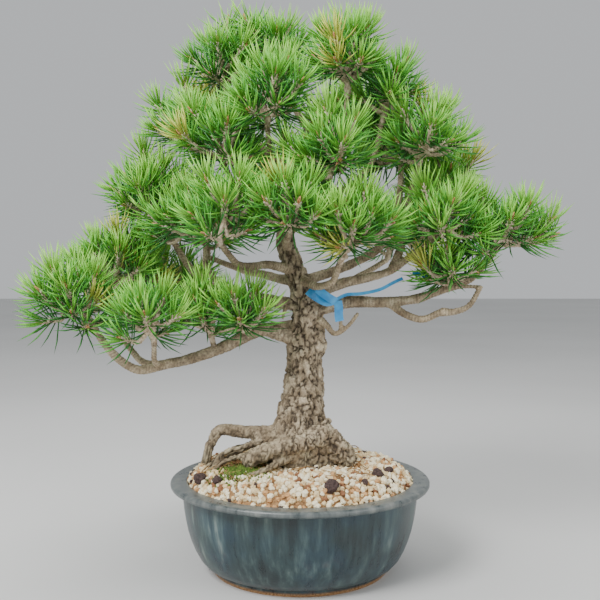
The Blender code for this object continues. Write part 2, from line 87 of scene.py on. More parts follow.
@dataclass(frozen=True)
class Limb:
    """One tapering bough: its route in millimetres and its end diameters."""

    name: str
    route: tuple[Point, ...]
    base: float
    tip: float


@dataclass(frozen=True)
class Mass:
    """One mass of foliage: its bough, its space and how many main sprays it holds."""

    name: str
    bough: str
    centre: Point
    reach: Point
    sprays: int
    from_side: bool = False


TRUNK_ROUTE = ((1, 0, 105.3), (0, 1, 146), (4, 5, 189), (7, 6, 240), (5, 8, 272), (-12, 4, 318),
               (-13, 9, 350), (-2, 14, 384), (10, 18, 416))
TRUNK_DIAMETERS = ((105, 39), (181, 38), (206, 34), (222, 41), (240, 33), (260, 32), (292, 23),
                   (350, 17), (384, 14), (416, 9))
TRUNK_SPACING = 13.0
FLARE_REACH = 29.0
FLARE_HEIGHT = 21.0
FLARE_START = 18.0
ROOT_RIDGES = ((200, 0.55), (262, 0.3), (342, 0.85), (40, 0.35), (118, 0.5))
ROOT_RIDGE_WIDTH = 26.0

LIMB_SPACING = 19.0
LIMB_WANDER = 1.1
TIP_RUN = 0.72

SPRAY_LENGTH = 24.0
HUB_SHARE = 0.3
HEAD_SHARE = 0.54
SHORTEST_TWIG = 6.0
SHARPEST_TURN = 0.35
SPACE_MARGIN = 0.035
LIMB_CLEARANCE = 1.2
GAP = 0.3
SIDE_STEM_GAP = 0.6
SIDE_STEM_RADIUS = 2.4
TOP_HEAD = 0.95
HEAD_FALL = 1.35
HEAD_SCATTER = 0.16
OUTWARD_PULL = 0.35
UPWARD_PULL = 0.3

LIMBS = (
    Limb("low_left", ((2, 2, 226), (-38, -8, 239), (-84, -19, 220), (-131, -26, 207), (-158, -35, 203),
                      (-182, -42, 222), (-198, -46, 248)), 17, 7),
    Limb("low_left_rear", ((-140, -26, 205), (-158, -8, 208), (-180, 10, 229), (-200, 22, 262)), 8, 5),
    Limb("low_left_front", ((-133, -26, 207), (-138, -48, 212), (-137, -58, 230)), 7.5, 5),
    Limb("second_left", ((4, 7, 264), (-38, 15, 269), (-78, 28, 275), (-110, 37, 296), (-130, 42, 324),
                         (-142, 43, 344)), 15, 6),
    Limb("second_left_fork", ((-74, 27, 274), (-88, 14, 290), (-95, 4, 305), (-94, -6, 325)), 8, 5),
    Limb("third_left", ((-4, 5, 297), (-32, -20, 305), (-57, -45, 304), (-74, -60, 324)), 11, 6),
    Limb("rear_low_left", ((5, 8, 246), (-37, 45, 238), (-92, 76, 234), (-138, 95, 247)), 13, 6),
    Limb("upper_left", ((-12, 6, 336), (-42, 20, 364), (-82, 36, 386), (-102, 42, 408)), 11, 6),
    Limb("upper_left_fork", ((-58, 26, 374), (-68, 2, 389), (-74, -16, 402)), 8, 5),
    Limb("inner_left", ((-11, 9, 356), (-22, -14, 382), (-29, -26, 408), (-31, -30, 434)), 9, 5),
    Limb("crown_left", ((0, 15, 390), (-26, 34, 414), (-54, 39, 444), (-72, 38, 476)), 10, 5),
    Limb("crown_top", ((8, 17, 410), (11, 26, 434), (-4, 36, 464), (-16, 42, 492)), 9, 5),
    Limb("crown_right", ((-13, 7, 340), (8, -10, 352), (28, -20, 387), (40, -15, 427),
                         (46, -10, 466)), 10, 5),
    Limb("crown_rear", ((-3, 14, 382), (16, 46, 398), (42, 84, 424), (62, 100, 446)), 9, 5),
    Limb("inner_right", ((22, -16, 375), (50, -6, 382), (72, 4, 408), (82, 4, 444)), 9, 5),
    Limb("rising_right", ((0, 7, 286), (38, 22, 300), (76, 27, 318), (100, 28, 362), (104, 27, 408)), 12, 6),
    Limb("upper_right", ((5, 8, 276), (45, -4, 286), (88, -12, 299), (122, -14, 322)), 14, 6),
    Limb("upper_right_riser", ((92, -12, 301), (104, -2, 332), (107, 1, 362), (116, -8, 398)), 9, 5),
    Limb("upper_right_rear", ((112, -14, 315), (136, 14, 328), (146, 34, 346), (152, 46, 364)), 8, 5),
    Limb("low_right", ((6, 7, 258), (45, -3, 266), (92, -10, 267), (137, -12, 278), (172, -13, 293),
                       (190, -12, 314)), 16, 6),
    Limb("low_right_loop", ((88, -9, 267), (102, -18, 255), (120, -22, 251), (137, -25, 258)), 8, 7),
    Limb("low_right_hook", ((137.8, -25.1, 258.4), (150, -27, 258), (165, -27, 265), (176, -28, 284)), 7, 5),
    Limb("front_right", ((-3, 5, 292), (18, -20, 284), (31, -38, 288), (37, -50, 304)), 10, 6),
    Limb("front_left", ((-12, 4, 322), (-13, -28, 328), (-8, -54, 338)), 10, 6),
    Limb("centre_front", ((4, -7, 351), (18, -36, 362), (26, -50, 384)), 8, 5),
    Limb("rear_left", ((-2, 7, 286), (-34, 50, 292), (-68, 84, 300), (-100, 108, 312)), 12, 6),
    Limb("rear_right", ((3, 8, 274), (36, 50, 280), (66, 84, 292), (94, 104, 308)), 12, 6),
    Limb("rear_middle", ((-14, 8, 345), (-8, 52, 358), (-2, 92, 370), (-4, 112, 388)), 10, 6),
)

SURFACE_ROOTS = (
    Limb("arch_root", ((-28, -6, 134), (-58, -9, 138), (-80, -11, 139), (-89, -12, 126),
                       (-94, -13, 106)), 17, 9),
    Limb("front_root", ((22, -22, 136), (-6, -38, 130), (-34, -43, 124), (-54, -40, 114)), 24, 16),
    Limb("right_root", ((18, -16, 138), (38, -22, 124), (50, -24, 108)), 28, 20),
)

BARE_TWIGS = (
    Limb("bare_twig", ((20, -6, 250), (27, -9, 243), (35, -12, 236), (47, -13, 243),
                       (58, -12, 257)), 7, 3.6),
    Limb("bare_fork", ((41, -13, 239), (40, -15, 250), (39, -16, 258)), 4.5, 2.6),
    Limb("link_right", ((146, -14, 281), (160, -20, 283), (175, -26, 283)), 5, 4),
    Limb("fine_root_one", ((-20, -24, 128), (-44, -34, 122), (-66, -38, 117), (-86, -34, 104)), 9, 4),
    Limb("fine_root_two", ((-30, -14, 132), (-52, -22, 125), (-72, -24, 121), (-93, -22, 104)), 7, 4),
    Limb("fine_root_three", ((-8, -36, 119), (-30, -52, 111), (-52, -58, 103)), 10, 5),
    Limb("fine_root_four", ((-36, -10, 130), (-60, -14, 118), (-80, -24, 110), (-92, -36, 102)), 8, 4),
    Limb("fine_root_five", ((-24, 14, 128), (-50, 18, 120), (-72, 10, 114), (-90, 6, 104)), 9, 5),
    Limb("stub_left", ((-14, 0, 262), (-16, -10, 257), (-17, -13, 250)), 5, 3),
)

MASSES = (
    Mass("far_left", "low_left", (-216, -46, 272), (62, 56, 52), 6),
    Mass("left_front", "low_left_front", (-142, -66, 256), (44, 44, 46), 4),
    Mass("left_rear", "low_left_rear", (-187, 28, 306), (62, 58, 56), 6),
    Mass("low_left_small", "low_left", (-92, -30, 258), (38, 36, 38), 3, True),
    Mass("low_left_spur", "low_left", (-56, -46, 260), (38, 36, 38), 3, True),
    Mass("left_outer", "second_left", (-158, 40, 380), (58, 60, 56), 6),
    Mass("left_middle", "second_left_fork", (-108, -14, 350), (56, 52, 52), 5),
    Mass("left_centre", "third_left", (-66, -76, 350), (54, 54, 52), 5),
    Mass("rear_low_left", "rear_low_left", (-152, 112, 286), (66, 62, 54), 5),
    Mass("upper_left", "upper_left", (-118, 40, 448), (54, 62, 56), 6),
    Mass("upper_left_front", "upper_left_fork", (-72, -30, 424), (56, 56, 54), 5),
    Mass("top_middle_front", "inner_left", (-28, -38, 468), (52, 54, 54), 5),
    Mass("top_left", "crown_left", (-82, 36, 512), (52, 60, 56), 6),
    Mass("top_middle", "crown_top", (-28, 44, 528), (56, 62, 50), 5),
    Mass("top_peak", "crown_right", (48, -8, 510), (54, 58, 54), 6),
    Mass("rear_top", "crown_rear", (62, 108, 470), (66, 60, 58), 5),
    Mass("top_right", "inner_right", (88, 2, 478), (46, 58, 56), 5),
    Mass("right_rise", "rising_right", (100, 66, 424), (54, 56, 54), 4),
    Mass("right_upper", "upper_right_riser", (120, -20, 428), (48, 56, 54), 5),
    Mass("right_rear", "upper_right_rear", (152, 56, 392), (54, 62, 56), 5),
    Mass("right_middle", "upper_right", (140, -36, 348), (54, 54, 52), 5),
    Mass("far_right", "low_right", (202, -14, 338), (60, 58, 48), 6),
    Mass("low_right_spur", "low_right", (144, -26, 302), (38, 38, 34), 3, True),
    Mass("front_right", "front_right", (48, -70, 334), (54, 56, 54), 5),
    Mass("front_left", "front_left", (-8, -84, 354), (52, 52, 52), 5),
    Mass("centre_front", "centre_front", (36, -66, 408), (56, 56, 56), 5),
    Mass("rear_left", "rear_left", (-112, 126, 356), (68, 64, 58), 5),
    Mass("rear_right", "rear_right", (112, 120, 348), (68, 64, 60), 5),
    Mass("rear_middle", "rear_middle", (-14, 136, 412), (72, 62, 66), 5),
)
FOLIAGE_NODES = tuple("foliage_" + mass.name for mass in MASSES)


class NeedleTint(Enum):
    """The greens of the needles, each mixed from two close shades: partly ages of needle and partly painted
    light and shade.
    """

    # New needles in painted light: the tips of upper, outer shoots.
    NEW = ("#86cf3c", "#acdf6c")
    BRIGHT = ("#66b934", "#86ca4c")
    MIDDLE = ("#459a32", "#60ae40")
    # Old needles in painted shade: low on the shoots, inside the masses and below.
    DEEP = ("#256a2a", "#3a7f33")
    YELLOW = ("#b9c646", "#d2d66e")


class GritTint(Enum):
    """The colours of the grit, with the share of the grains that each takes."""

    CREAM = ("#f4e4bd", "#fff8dc", 0.0, 0.42)
    SAND = ("#dcc08e", "#ecd8ac", 0.42, 0.74)
    TAN = ("#c08f5c", "#d3a878", 0.74, 0.9)
    BROWN = ("#83583a", "#97694a", 0.9, 0.97)
    LAVA = ("#3d2f2c", "#4f3f3a", 0.97, 1.0)


def linear(colour: str) -> tuple[float, float, float, float]:
    """Turn an sRGB hex colour to linear RGBA.

    Args:
        colour: A colour such as "#aabbcc".

    Returns:
        The linear red, green, blue and an alpha of one.
    """
    parts = [int(colour[at:at + 2], 16) / 255 for at in (1, 3, 5)]
    red, green, blue = (c / 12.92 if c <= 0.04045 else ((c + 0.055) / 1.055) ** 2.4 for c in parts)
    return (red, green, blue, 1.0)


def feed(tree: bpy.types.NodeTree, socket: Socket, value: object) -> None:
    """Link a socket or a node's first live output to an input, or set the input's own value.

    Args:
        tree: The node tree.
        socket: The input.
        value: What it gets.
    """
    if isinstance(value, Node):
        value = next(output for output in value.outputs if output.enabled)
    if isinstance(value, Socket):
        tree.links.new(value, socket)
    else:
        socket.default_value = value


def add_node(tree: bpy.types.NodeTree, kind: str, feeds: dict | None = None,
             stops: dict[float, str] | None = None, **settings: object) -> Node:
    """Add a node with its settings, and link or set its inputs.

    Args:
        tree: The node tree.
        kind: The node's type name.
        feeds: Input names or numbers, each with a node, an output socket or a plain value.
        stops: For a colour ramp, positions from zero to one, each with its hex colour.
        settings: Attributes of the node itself.

    Returns:
        The new node.
    """
    node = tree.nodes.new(kind)
    for name, value in settings.items():
        setattr(node, name, value)
    if stops:
        elements = node.color_ramp.elements
        first, *middle, last = sorted(stops)
        elements[0].position, elements[1].position = first, last
        elements[0].color, elements[1].color = linear(stops[first]), linear(stops[last])
        for place in middle:
            elements.new(place).color = linear(stops[place])
    for key, value in (feeds or {}).items():
        feed(tree, node.inputs[key], value)
    return node


@dataclass(frozen=True)
class Finish:
    """A surface that starts from a real material's typical roughness and IOR.

    The sizes of the patterns in the finishes are real ones, in metres.
    """

    name: str
    roughness: float
    ior: float

    def build(self) -> bpy.types.Material:
        """Make the material.

        Returns:
            The material.
        """
        material = bpy.data.materials.new(self.name)
        material.use_nodes = True
        tree = material.node_tree
        shader = tree.nodes["Principled BSDF"]
        shader.inputs["Roughness"].default_value = self.roughness
        shader.inputs["IOR"].default_value = self.ior
        add = partial(add_node, tree)
        place = add("ShaderNodeTexCoord").outputs["Object"]
        for name, node in self.paint(add, place).items():
            feed(tree, shader.inputs[name], node)
        return material

    def paint(self, add: AddNode, place: Socket) -> dict[str, Node]:
        """The shader's inputs that a pattern feeds, each with its node: none on an even surface."""
        return {}


@dataclass(frozen=True)
class NeedleFinish(Finish):
    """Pine needle: a waxy cuticle that gives a satin light along an even green."""

    dark: str
    light: str
    patch: float = 0.011

    def paint(self, add: AddNode, place: Socket) -> dict[str, Node]:
        """Two close greens that drift from needle to needle, over patches of 11 mm.

        Args:
            add: Adds a node to the material.
            place: The surface's own Object coordinates, in metres.

        Returns:
            The shader's inputs, each with the node that feeds it.
        """
        cloud = add("ShaderNodeTexNoise", {"Vector": place, "Scale": 1 / self.patch, "Detail": 1.0})
        colour = add("ShaderNodeMix", {0: cloud, 6: linear(self.dark), 7: linear(self.light)},
                     data_type="RGBA")
        return {"Base Color": colour}


@dataclass(frozen=True)
class BarkFinish(Finish):
    """Black pine bark: corky plates that weather pale and matt, dark in the cracks, smoother when young."""

    grain: float = 0.0022
    plate: float = 0.012
    grain_depth: float = 0.0008
    green_top: float = 0.185
    green_full: float = 0.11
    speckle: float = 0.55

    def paint(self, add: AddNode, place: Socket) -> dict[str, Node]:
        """Weathered plates and dark cracks, greened by algae low on the trunk.

        Args:
            add: Adds a node to the material.
            place: The surface's own Object coordinates, in metres.

        Returns:
            The shader's inputs, each with the node that feeds it.
        """
        crack, age = (add("ShaderNodeAttribute", attribute_name=name).outputs["Fac"]
                      for name in ("crack", "age"))
        plates = add("ShaderNodeTexNoise", {"Vector": place, "Scale": 1 / self.plate, "Detail": 4.0})
        fine = add("ShaderNodeTexNoise", {"Vector": place, "Scale": 1 / self.grain, "Detail": 6.0,
                                          "Roughness": 0.7})
        old = add("ShaderNodeValToRGB", {0: plates},
                  stops={0.3: "#7f705c", 0.45: "#a2937d", 0.58: "#bbad96", 0.72: "#d6cab4"})
        young = add("ShaderNodeValToRGB", {0: plates},
                    stops={0.3: "#8e7e68", 0.5: "#b1a28a", 0.7: "#cdc0a8"})
        speck = add("ShaderNodeValToRGB", {0: fine},
                    stops={0.3: "#5a4a3a", 0.5: "#b5b0a6", 0.7: "#f4efe4"})
        height = add("ShaderNodeSeparateXYZ", {0: place}).outputs[2]
        low = add("ShaderNodeMapRange", {"Value": height, "From Min": self.green_top,
                                         "From Max": self.green_full})
        green = add("ShaderNodeMath", {0: low, 1: plates}, operation="MULTIPLY")
        algae = add("ShaderNodeMapRange", {"Value": green, "From Min": 0.3, "From Max": 0.75, "To Max": 0.5})
        colour = young
        for share, over, blend in ((age, old, "MIX"), (self.speckle, speck, "OVERLAY"),
                                   (algae, linear("#5d6339"), "MIX"), (crack, linear("#352a20"), "MIX")):
            colour = add("ShaderNodeMix", {0: share, 6: colour, 7: over}, data_type="RGBA", blend_type=blend)
        relief = add("ShaderNodeBump", {"Height": fine, "Distance": self.grain_depth, "Strength": 1.0})
        return {"Base Color": colour, "Normal": relief}


@dataclass(frozen=True)
class MottledFinish(Finish):
    """A surface that drifts between two close shades and is as uneven as it is mottled."""

    dark: str
    light: str
    patch: float = 0.01
    depth: float = 0.0003
    detail: float = 3.0
    coarseness: float = 0.5
    light_from: float = 0.65

    def paint(self, add: AddNode, place: Socket) -> dict[str, Node]:
        """Two shades of one noise, with the same noise in relief.

        Args:
            add: Adds a node to the material.
            place: The surface's own Object coordinates, in metres.

        Returns:
            The shader's inputs, each with the node that feeds it.
        """
        cloud = add("ShaderNodeTexNoise", {"Vector": place, "Scale": 1 / self.patch, "Detail": self.detail,
                                           "Roughness": self.coarseness})
        colour = add("ShaderNodeValToRGB", {0: cloud}, stops={0.35: self.dark, self.light_from: self.light})
        relief = add("ShaderNodeBump", {"Height": cloud, "Distance": self.depth, "Strength": 1.0})
        return {"Base Color": colour, "Normal": relief}


@dataclass(frozen=True)
class GrainFinish(MottledFinish):
    """Pumice, lava or crumbled soil: porous and matt, with speckled pores the size of sand."""

    patch: float = 0.0011
    depth: float = 0.0005
    detail: float = 4.0
    coarseness: float = 0.65
    light_from: float = 0.6


@dataclass(frozen=True)
class GlazeFinish(Finish):
    """Stoneware dipped in a thin glaze: glossy, streaked where it ran, blue where it pooled."""

    streak: float = 0.010526
    streak_stretch: float = 0.12
    pool: float = 0.045455
    pit: float = 0.0014286
    pit_depth: float = 0.0001
    blue: float = 0.36
    rust_top: float = 0.05
    rust_full: float = 0.012
    lip_under: float = 0.0835
    lip_top: float = 0.0865
    foot_top: float = 0.0042
    foot_full: float = 0.0022

    def paint(self, add: AddNode, place: Socket) -> dict[str, Node]:
        """Streaks about 10 mm apart down the wall, a grey worn lip and a bare clay foot.

        Args:
            add: Adds a node to the material.
            place: The surface's own Object coordinates, in metres.

        Returns:
            The shader's inputs, each with the node that feeds it.
        """
        long_way = add("ShaderNodeMapping", {"Vector": place, "Scale": (1.0, 1.0, self.streak_stretch)})
        streaks = add("ShaderNodeTexNoise", {"Vector": long_way, "Scale": 1 / self.streak, "Detail": 5.0,
                                             "Roughness": 0.6})
        clouds = add("ShaderNodeTexNoise", {"Vector": place, "Scale": 1 / self.pool, "Detail": 4.0})
        # Real glaze pits are finer than this. They are drawn 1.4 mm apart so that they show.
        pits = add("ShaderNodeTexNoise", {"Vector": place, "Scale": 1 / self.pit, "Detail": 3.0})
        run = add("ShaderNodeValToRGB", {0: streaks},
                  stops={0.3: "#101a1c", 0.42: "#1e2c2e", 0.52: "#304143", 0.62: "#50625f", 0.74: "#8f9b93"})
        pool = add("ShaderNodeValToRGB", {0: clouds},
                   stops={0.35: "#272d2d", 0.5: "#2a3e42", 0.66: "#254458"})
        worn = add("ShaderNodeValToRGB", {0: streaks},
                   stops={0.3: "#3c4445", 0.5: "#5d6362", 0.75: "#858782"})
        clay = add("ShaderNodeValToRGB", {0: pits}, stops={0.35: "#7a5432", 0.65: "#b48a5c"})
        height = add("ShaderNodeSeparateXYZ", {0: place}).outputs[2]
        low, lip, foot = (add("ShaderNodeMapRange", {"Value": height, "From Min": start, "From Max": end})
                          for start, end in ((self.rust_top, self.rust_full), (self.lip_under, self.lip_top),
                                             (self.foot_top, self.foot_full)))
        spots = add("ShaderNodeMapRange", {"Value": clouds, "From Min": 0.62, "From Max": 0.72,
                                           "To Max": 0.55})
        rust = add("ShaderNodeMath", {0: spots, 1: low}, operation="MULTIPLY")
        colour = run
        for share, over in ((self.blue, pool), (rust, linear("#7a4a22")), (lip, worn), (foot, clay)):
            colour = add("ShaderNodeMix", {0: share, 6: colour, 7: over}, data_type="RGBA")
        rough = add("ShaderNodeMapRange", {"Value": streaks, "From Min": 0.3, "From Max": 0.75,
                                           "To Min": 0.22, "To Max": 0.5})
        relief = add("ShaderNodeBump", {"Height": pits, "Distance": self.pit_depth, "Strength": 1.0})
        return {"Base Color": colour, "Roughness": rough, "Normal": relief}


# Young pine bark is thin and smooth: dull, pale tan, with darker scars where needles fell.
YOUNG_BARK = MottledFinish("young_pine_bark", roughness=0.85, ior=1.45, dark="#9c8970", light="#dccbb0",
                           patch=0.003)
# The sheath at the root of a pair of needles is dead and papery: matt, straw coloured, light at its edge.
SHEATH = MottledFinish("papery_sheath", roughness=0.7, ior=1.4, dark="#b59f84", light="#e2d6c2", patch=0.004)
# A winter bud is wrapped in scales and dried resin: warm brown with a pale bloom and a weak shine.
BUD = MottledFinish("resinous_bud", roughness=0.6, ior=1.45, dark="#a8693a", light="#dfb184", patch=0.002)
# Moss is a cushion of wet leafy stems: soft and matt, olive below and yellow green at the tips.
MOSS = MottledFinish("moss", roughness=0.9, ior=1.4, dark="#3c5219", light="#75903c", patch=0.004)
# Dropped needles dry to a dull straw brown.
DRY_NEEDLE = MottledFinish("dry_needle", roughness=0.8, ior=1.4, dark="#7a5836", light="#bd9a68", patch=0.02)
# Crumbly soil and root fibre: quite without gloss, brown with lighter crumbs about 2 mm across.
SOIL = GrainFinish("crumbly_soil", roughness=0.95, ior=1.5, dark="#6b4c30", light="#b08a5e", patch=0.0022)
# Lava is full of gas pores: matt, near black in them and rusty on their rims.
LAVA = GrainFinish("lava_stone", roughness=0.95, ior=1.5, dark="#2c211f", light="#564440", patch=0.0018)
# Soft vinyl tape: one even sky blue with a low smooth shine.
TAPE = MottledFinish("vinyl_tape", roughness=0.35, ior=1.5, dark="#2b86c6", light="#4fb0ea", patch=0.012)
# Matt background paper: pale and without any gloss.
PAPER = MottledFinish("matt_paper", roughness=0.9, ior=1.4, dark="#c9c9c7", light="#d0d0ce", patch=0.8)


def tube_faces(rows: int, sides: int) -> list[tuple[int, ...]]:
    """Faces of a closed tube whose corners are numbered ring by ring.

    Args:
        rows: How many rings the tube has.
        sides: How many corners each ring has.

    Returns:
        The faces of the sides, then the two end caps.
    """
    faces: list[tuple[int, ...]] = []
    for low in range(0, (rows - 1) * sides, sides):
        for side in range(sides):
            after = (side + 1) % sides
            faces.append((low + side, low + after, low + sides + after, low + sides + side))
    last = (rows - 1) * sides
    faces.append(tuple(reversed(range(sides))))
    faces.append(tuple(last + side for side in range(sides)))
    return faces


class MeshDraft:
    """Corners and faces gathered in millimetres, made one mesh in metres at the end."""

    def __init__(self) -> None:
        """Start with no corners."""
        self.corners: list[np.ndarray] = []
        self.faces: list[tuple[int, ...]] = []
        self.count = 0

    def add(self, corners: np.ndarray, faces: list[tuple[int, ...]]) -> None:
        """Add a closed shape.

        Args:
            corners: Its corners in millimetres.
            faces: Its faces, numbered from its own first corner.
        """
        self.corners.append(np.asarray(corners, float))
        self.faces += [tuple(index + self.count for index in face) for face in faces]
        self.count += len(corners)

    def tube(self, points: np.ndarray, radii: np.ndarray, sides: int) -> None:
        """Add a closed round tube along a path.

        Args:
            points: Centre points in millimetres.
            radii: The radius at each point.
            sides: How many sides the tube has.
        """
        points = np.asarray(points, float)
        tangents = np.gradient(points, axis=0)
        tangents /= np.linalg.norm(tangents, axis=1)[:, None]
        any_way = (0.31, 0.87, 0.38)
        across = np.cross(tangents[0], any_way)
        rings = []
        angles = np.linspace(0, math.tau, sides, endpoint=False)
        for point, tangent, radius in zip(points, tangents, radii):
            across = across - tangent * across.dot(tangent)
            across /= np.linalg.norm(across)
            beside = np.cross(tangent, across)
            ring = np.cos(angles)[:, None] * across + np.sin(angles)[:, None] * beside
            rings.append(point + ring * radius)
        self.add(np.concatenate(rings), tube_faces(len(points), sides))

    def piece(self, name: str, smooth: bool = True) -> bpy.types.Object:
        """Make one object of everything added.

        Args:
            name: The object's name.
            smooth: Whether its faces are shaded smooth.

        Returns:
            The new object.
        """
        mesh = bpy.data.meshes.new(name)
        mesh.from_pydata((np.concatenate(self.corners) * MM).tolist(), [], self.faces)
        mesh.update()
        return put(name, mesh, smooth)


def put(name: str, shape: bpy.types.Mesh | bmesh.types.BMesh, smooth: bool = True) -> bpy.types.Object:
    """Link a mesh as an object at the origin.

    Args:
        name: The object's name.
        shape: Its mesh, finished or still open for editing.
        smooth: Whether its faces are shaded smooth.

    Returns:
        The new object.
    """
    mesh = shape
    if isinstance(shape, bmesh.types.BMesh):
        mesh = bpy.data.meshes.new(name)
        shape.to_mesh(mesh)
        shape.free()
    if smooth:
        mesh.shade_smooth()
    piece = bpy.data.objects.new(name, mesh)
    bpy.context.scene.collection.objects.link(piece)
    return piece


def triangles_of(piece: bpy.types.Object) -> int:
    """How many triangles an object's mesh has."""
    return sum(len(face.vertices) - 2 for face in piece.data.polygons)


def dress(piece: bpy.types.Object, nodes: tuple[str, ...] = (),
          finish: Finish | None = None) -> bpy.types.Object:
    """Give a piece its finish, ride it on the one body, and hide the parts that it stands for.

    Args:
        piece: The piece.
        nodes: The nodes that the piece stands for.
        finish: Its finish, or none where the piece already has one.

    Returns:
        The piece.
    """
    if finish:
        piece.data.materials.append(finish.build())
    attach(piece, "root")
    if nodes:
        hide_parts(*nodes)
    LOG.info("%s: %d triangles", piece.name, triangles_of(piece))
    return piece


def settled(piece: bpy.types.Object) -> bpy.types.Mesh:
    """The evaluated mesh of an object.

    Args:
        piece: The object, with its modifiers.

    Returns:
        A plain mesh.
    """
    bpy.context.view_layer.update()
    graph = bpy.context.evaluated_depsgraph_get()
    return bpy.data.meshes.new_from_object(piece.evaluated_get(graph))


def remove(piece: bpy.types.Object) -> None:
    """Remove a helper object."""
    bpy.data.objects.remove(piece, do_unlink=True)


def smooth_route(route: tuple[Point, ...], spacing: float) -> list[Vector]:
    """Points about one spacing apart on a smooth curve through the route's own points.

    Args:
        route: The points to pass through, in millimetres.
        spacing: The wanted distance between points.

    Returns:
        The points.
    """
    knots = [Vector(point) for point in route]
    knots = [2 * knots[0] - knots[1], *knots, 2 * knots[-1] - knots[-2]]
    points = []
    for before, start, end, after in zip(knots, knots[1:], knots[2:], knots[3:]):
        steps = max(1, round((end - start).length / spacing))
        for step in range(steps):
            t = step / steps
            points.append(start + 0.5 * t * ((end - before)
                          + t * (2 * before - 5 * start + 4 * end - after)
                          + t * t * (3 * start - before - 3 * end + after)))
    points.append(knots[-2])
    return points


def limb_line(limb: Limb) -> list[tuple[Vector, float]]:
    """Centre points and radii of a limb, with the small wander that pine limbs have.

    Args:
        limb: The limb.

    Returns:
        Each centre point with its radius, in millimetres.
    """
    draw = random.Random(limb.name)
    points = smooth_route(limb.route, LIMB_SPACING)
    line = []
    last = len(points) - 1
    for number, point in enumerate(points):
        part = number / last
        sway = Vector([draw.uniform(-1, 1) for _ in range(3)]) * LIMB_WANDER
        free = 0 < number < last - 1
        radius = 0.5 * (limb.base + (limb.tip - limb.base) * part ** TIP_RUN)
        line.append((point + sway if free else point, radius))
    return line


def trunk_radius(height: float) -> float:
    """Radius of the trunk's shaft at a height, from its measured diameters."""
    heights, diameters = zip(*TRUNK_DIAMETERS)
    return 0.5 * float(np.interp(height, heights, diameters))


def trunk_line(spacing: float = TRUNK_SPACING) -> list[tuple[Vector, float]]:
    """Centre points of the trunk and the radius of its shaft at each."""
    return [(point, trunk_radius(point.z)) for point in smooth_route(TRUNK_ROUTE, spacing)]


def root_ridge(angle: float) -> float:
    """How far the root ridges stand out.

    Args:
        angle: The direction in degrees.

    Returns:
        The swell, as a share of the flare.
    """
    swell = 0.0
    for heading, strength in ROOT_RIDGES:
        away = (angle - heading + 180.0) % 360.0 - 180.0
        swell += strength * math.exp(-(away / ROOT_RIDGE_WIDTH) ** 2)
    return swell


def straight_runs(limbs: tuple[Limb, ...]) -> np.ndarray:
    """Short straight runs of the trunk and some limbs.

    Args:
        limbs: The limbs.

    Returns:
        Rows of both ends, both radii and the length before the run.
    """
    rows = []
    for line in [trunk_line()] + [limb_line(limb) for limb in limbs]:
        along = 0.0
        for (start, r0), (end, r1) in zip(line, line[1:]):
            rows.append((*start, *end, r0, r1, along))
            along += (end - start).length
    return np.array(rows)


@dataclass
class Shoot:
    """A twig that ends in a spray of needles: shade is how far upwards it stands in its mass, and lightens
    its needles as painted light from above.
    """

    path: list[Vector]
    start_radius: float
    foot: Vector
    head: Vector
    axis: Vector
    main: bool
    shade: float
    mass: int


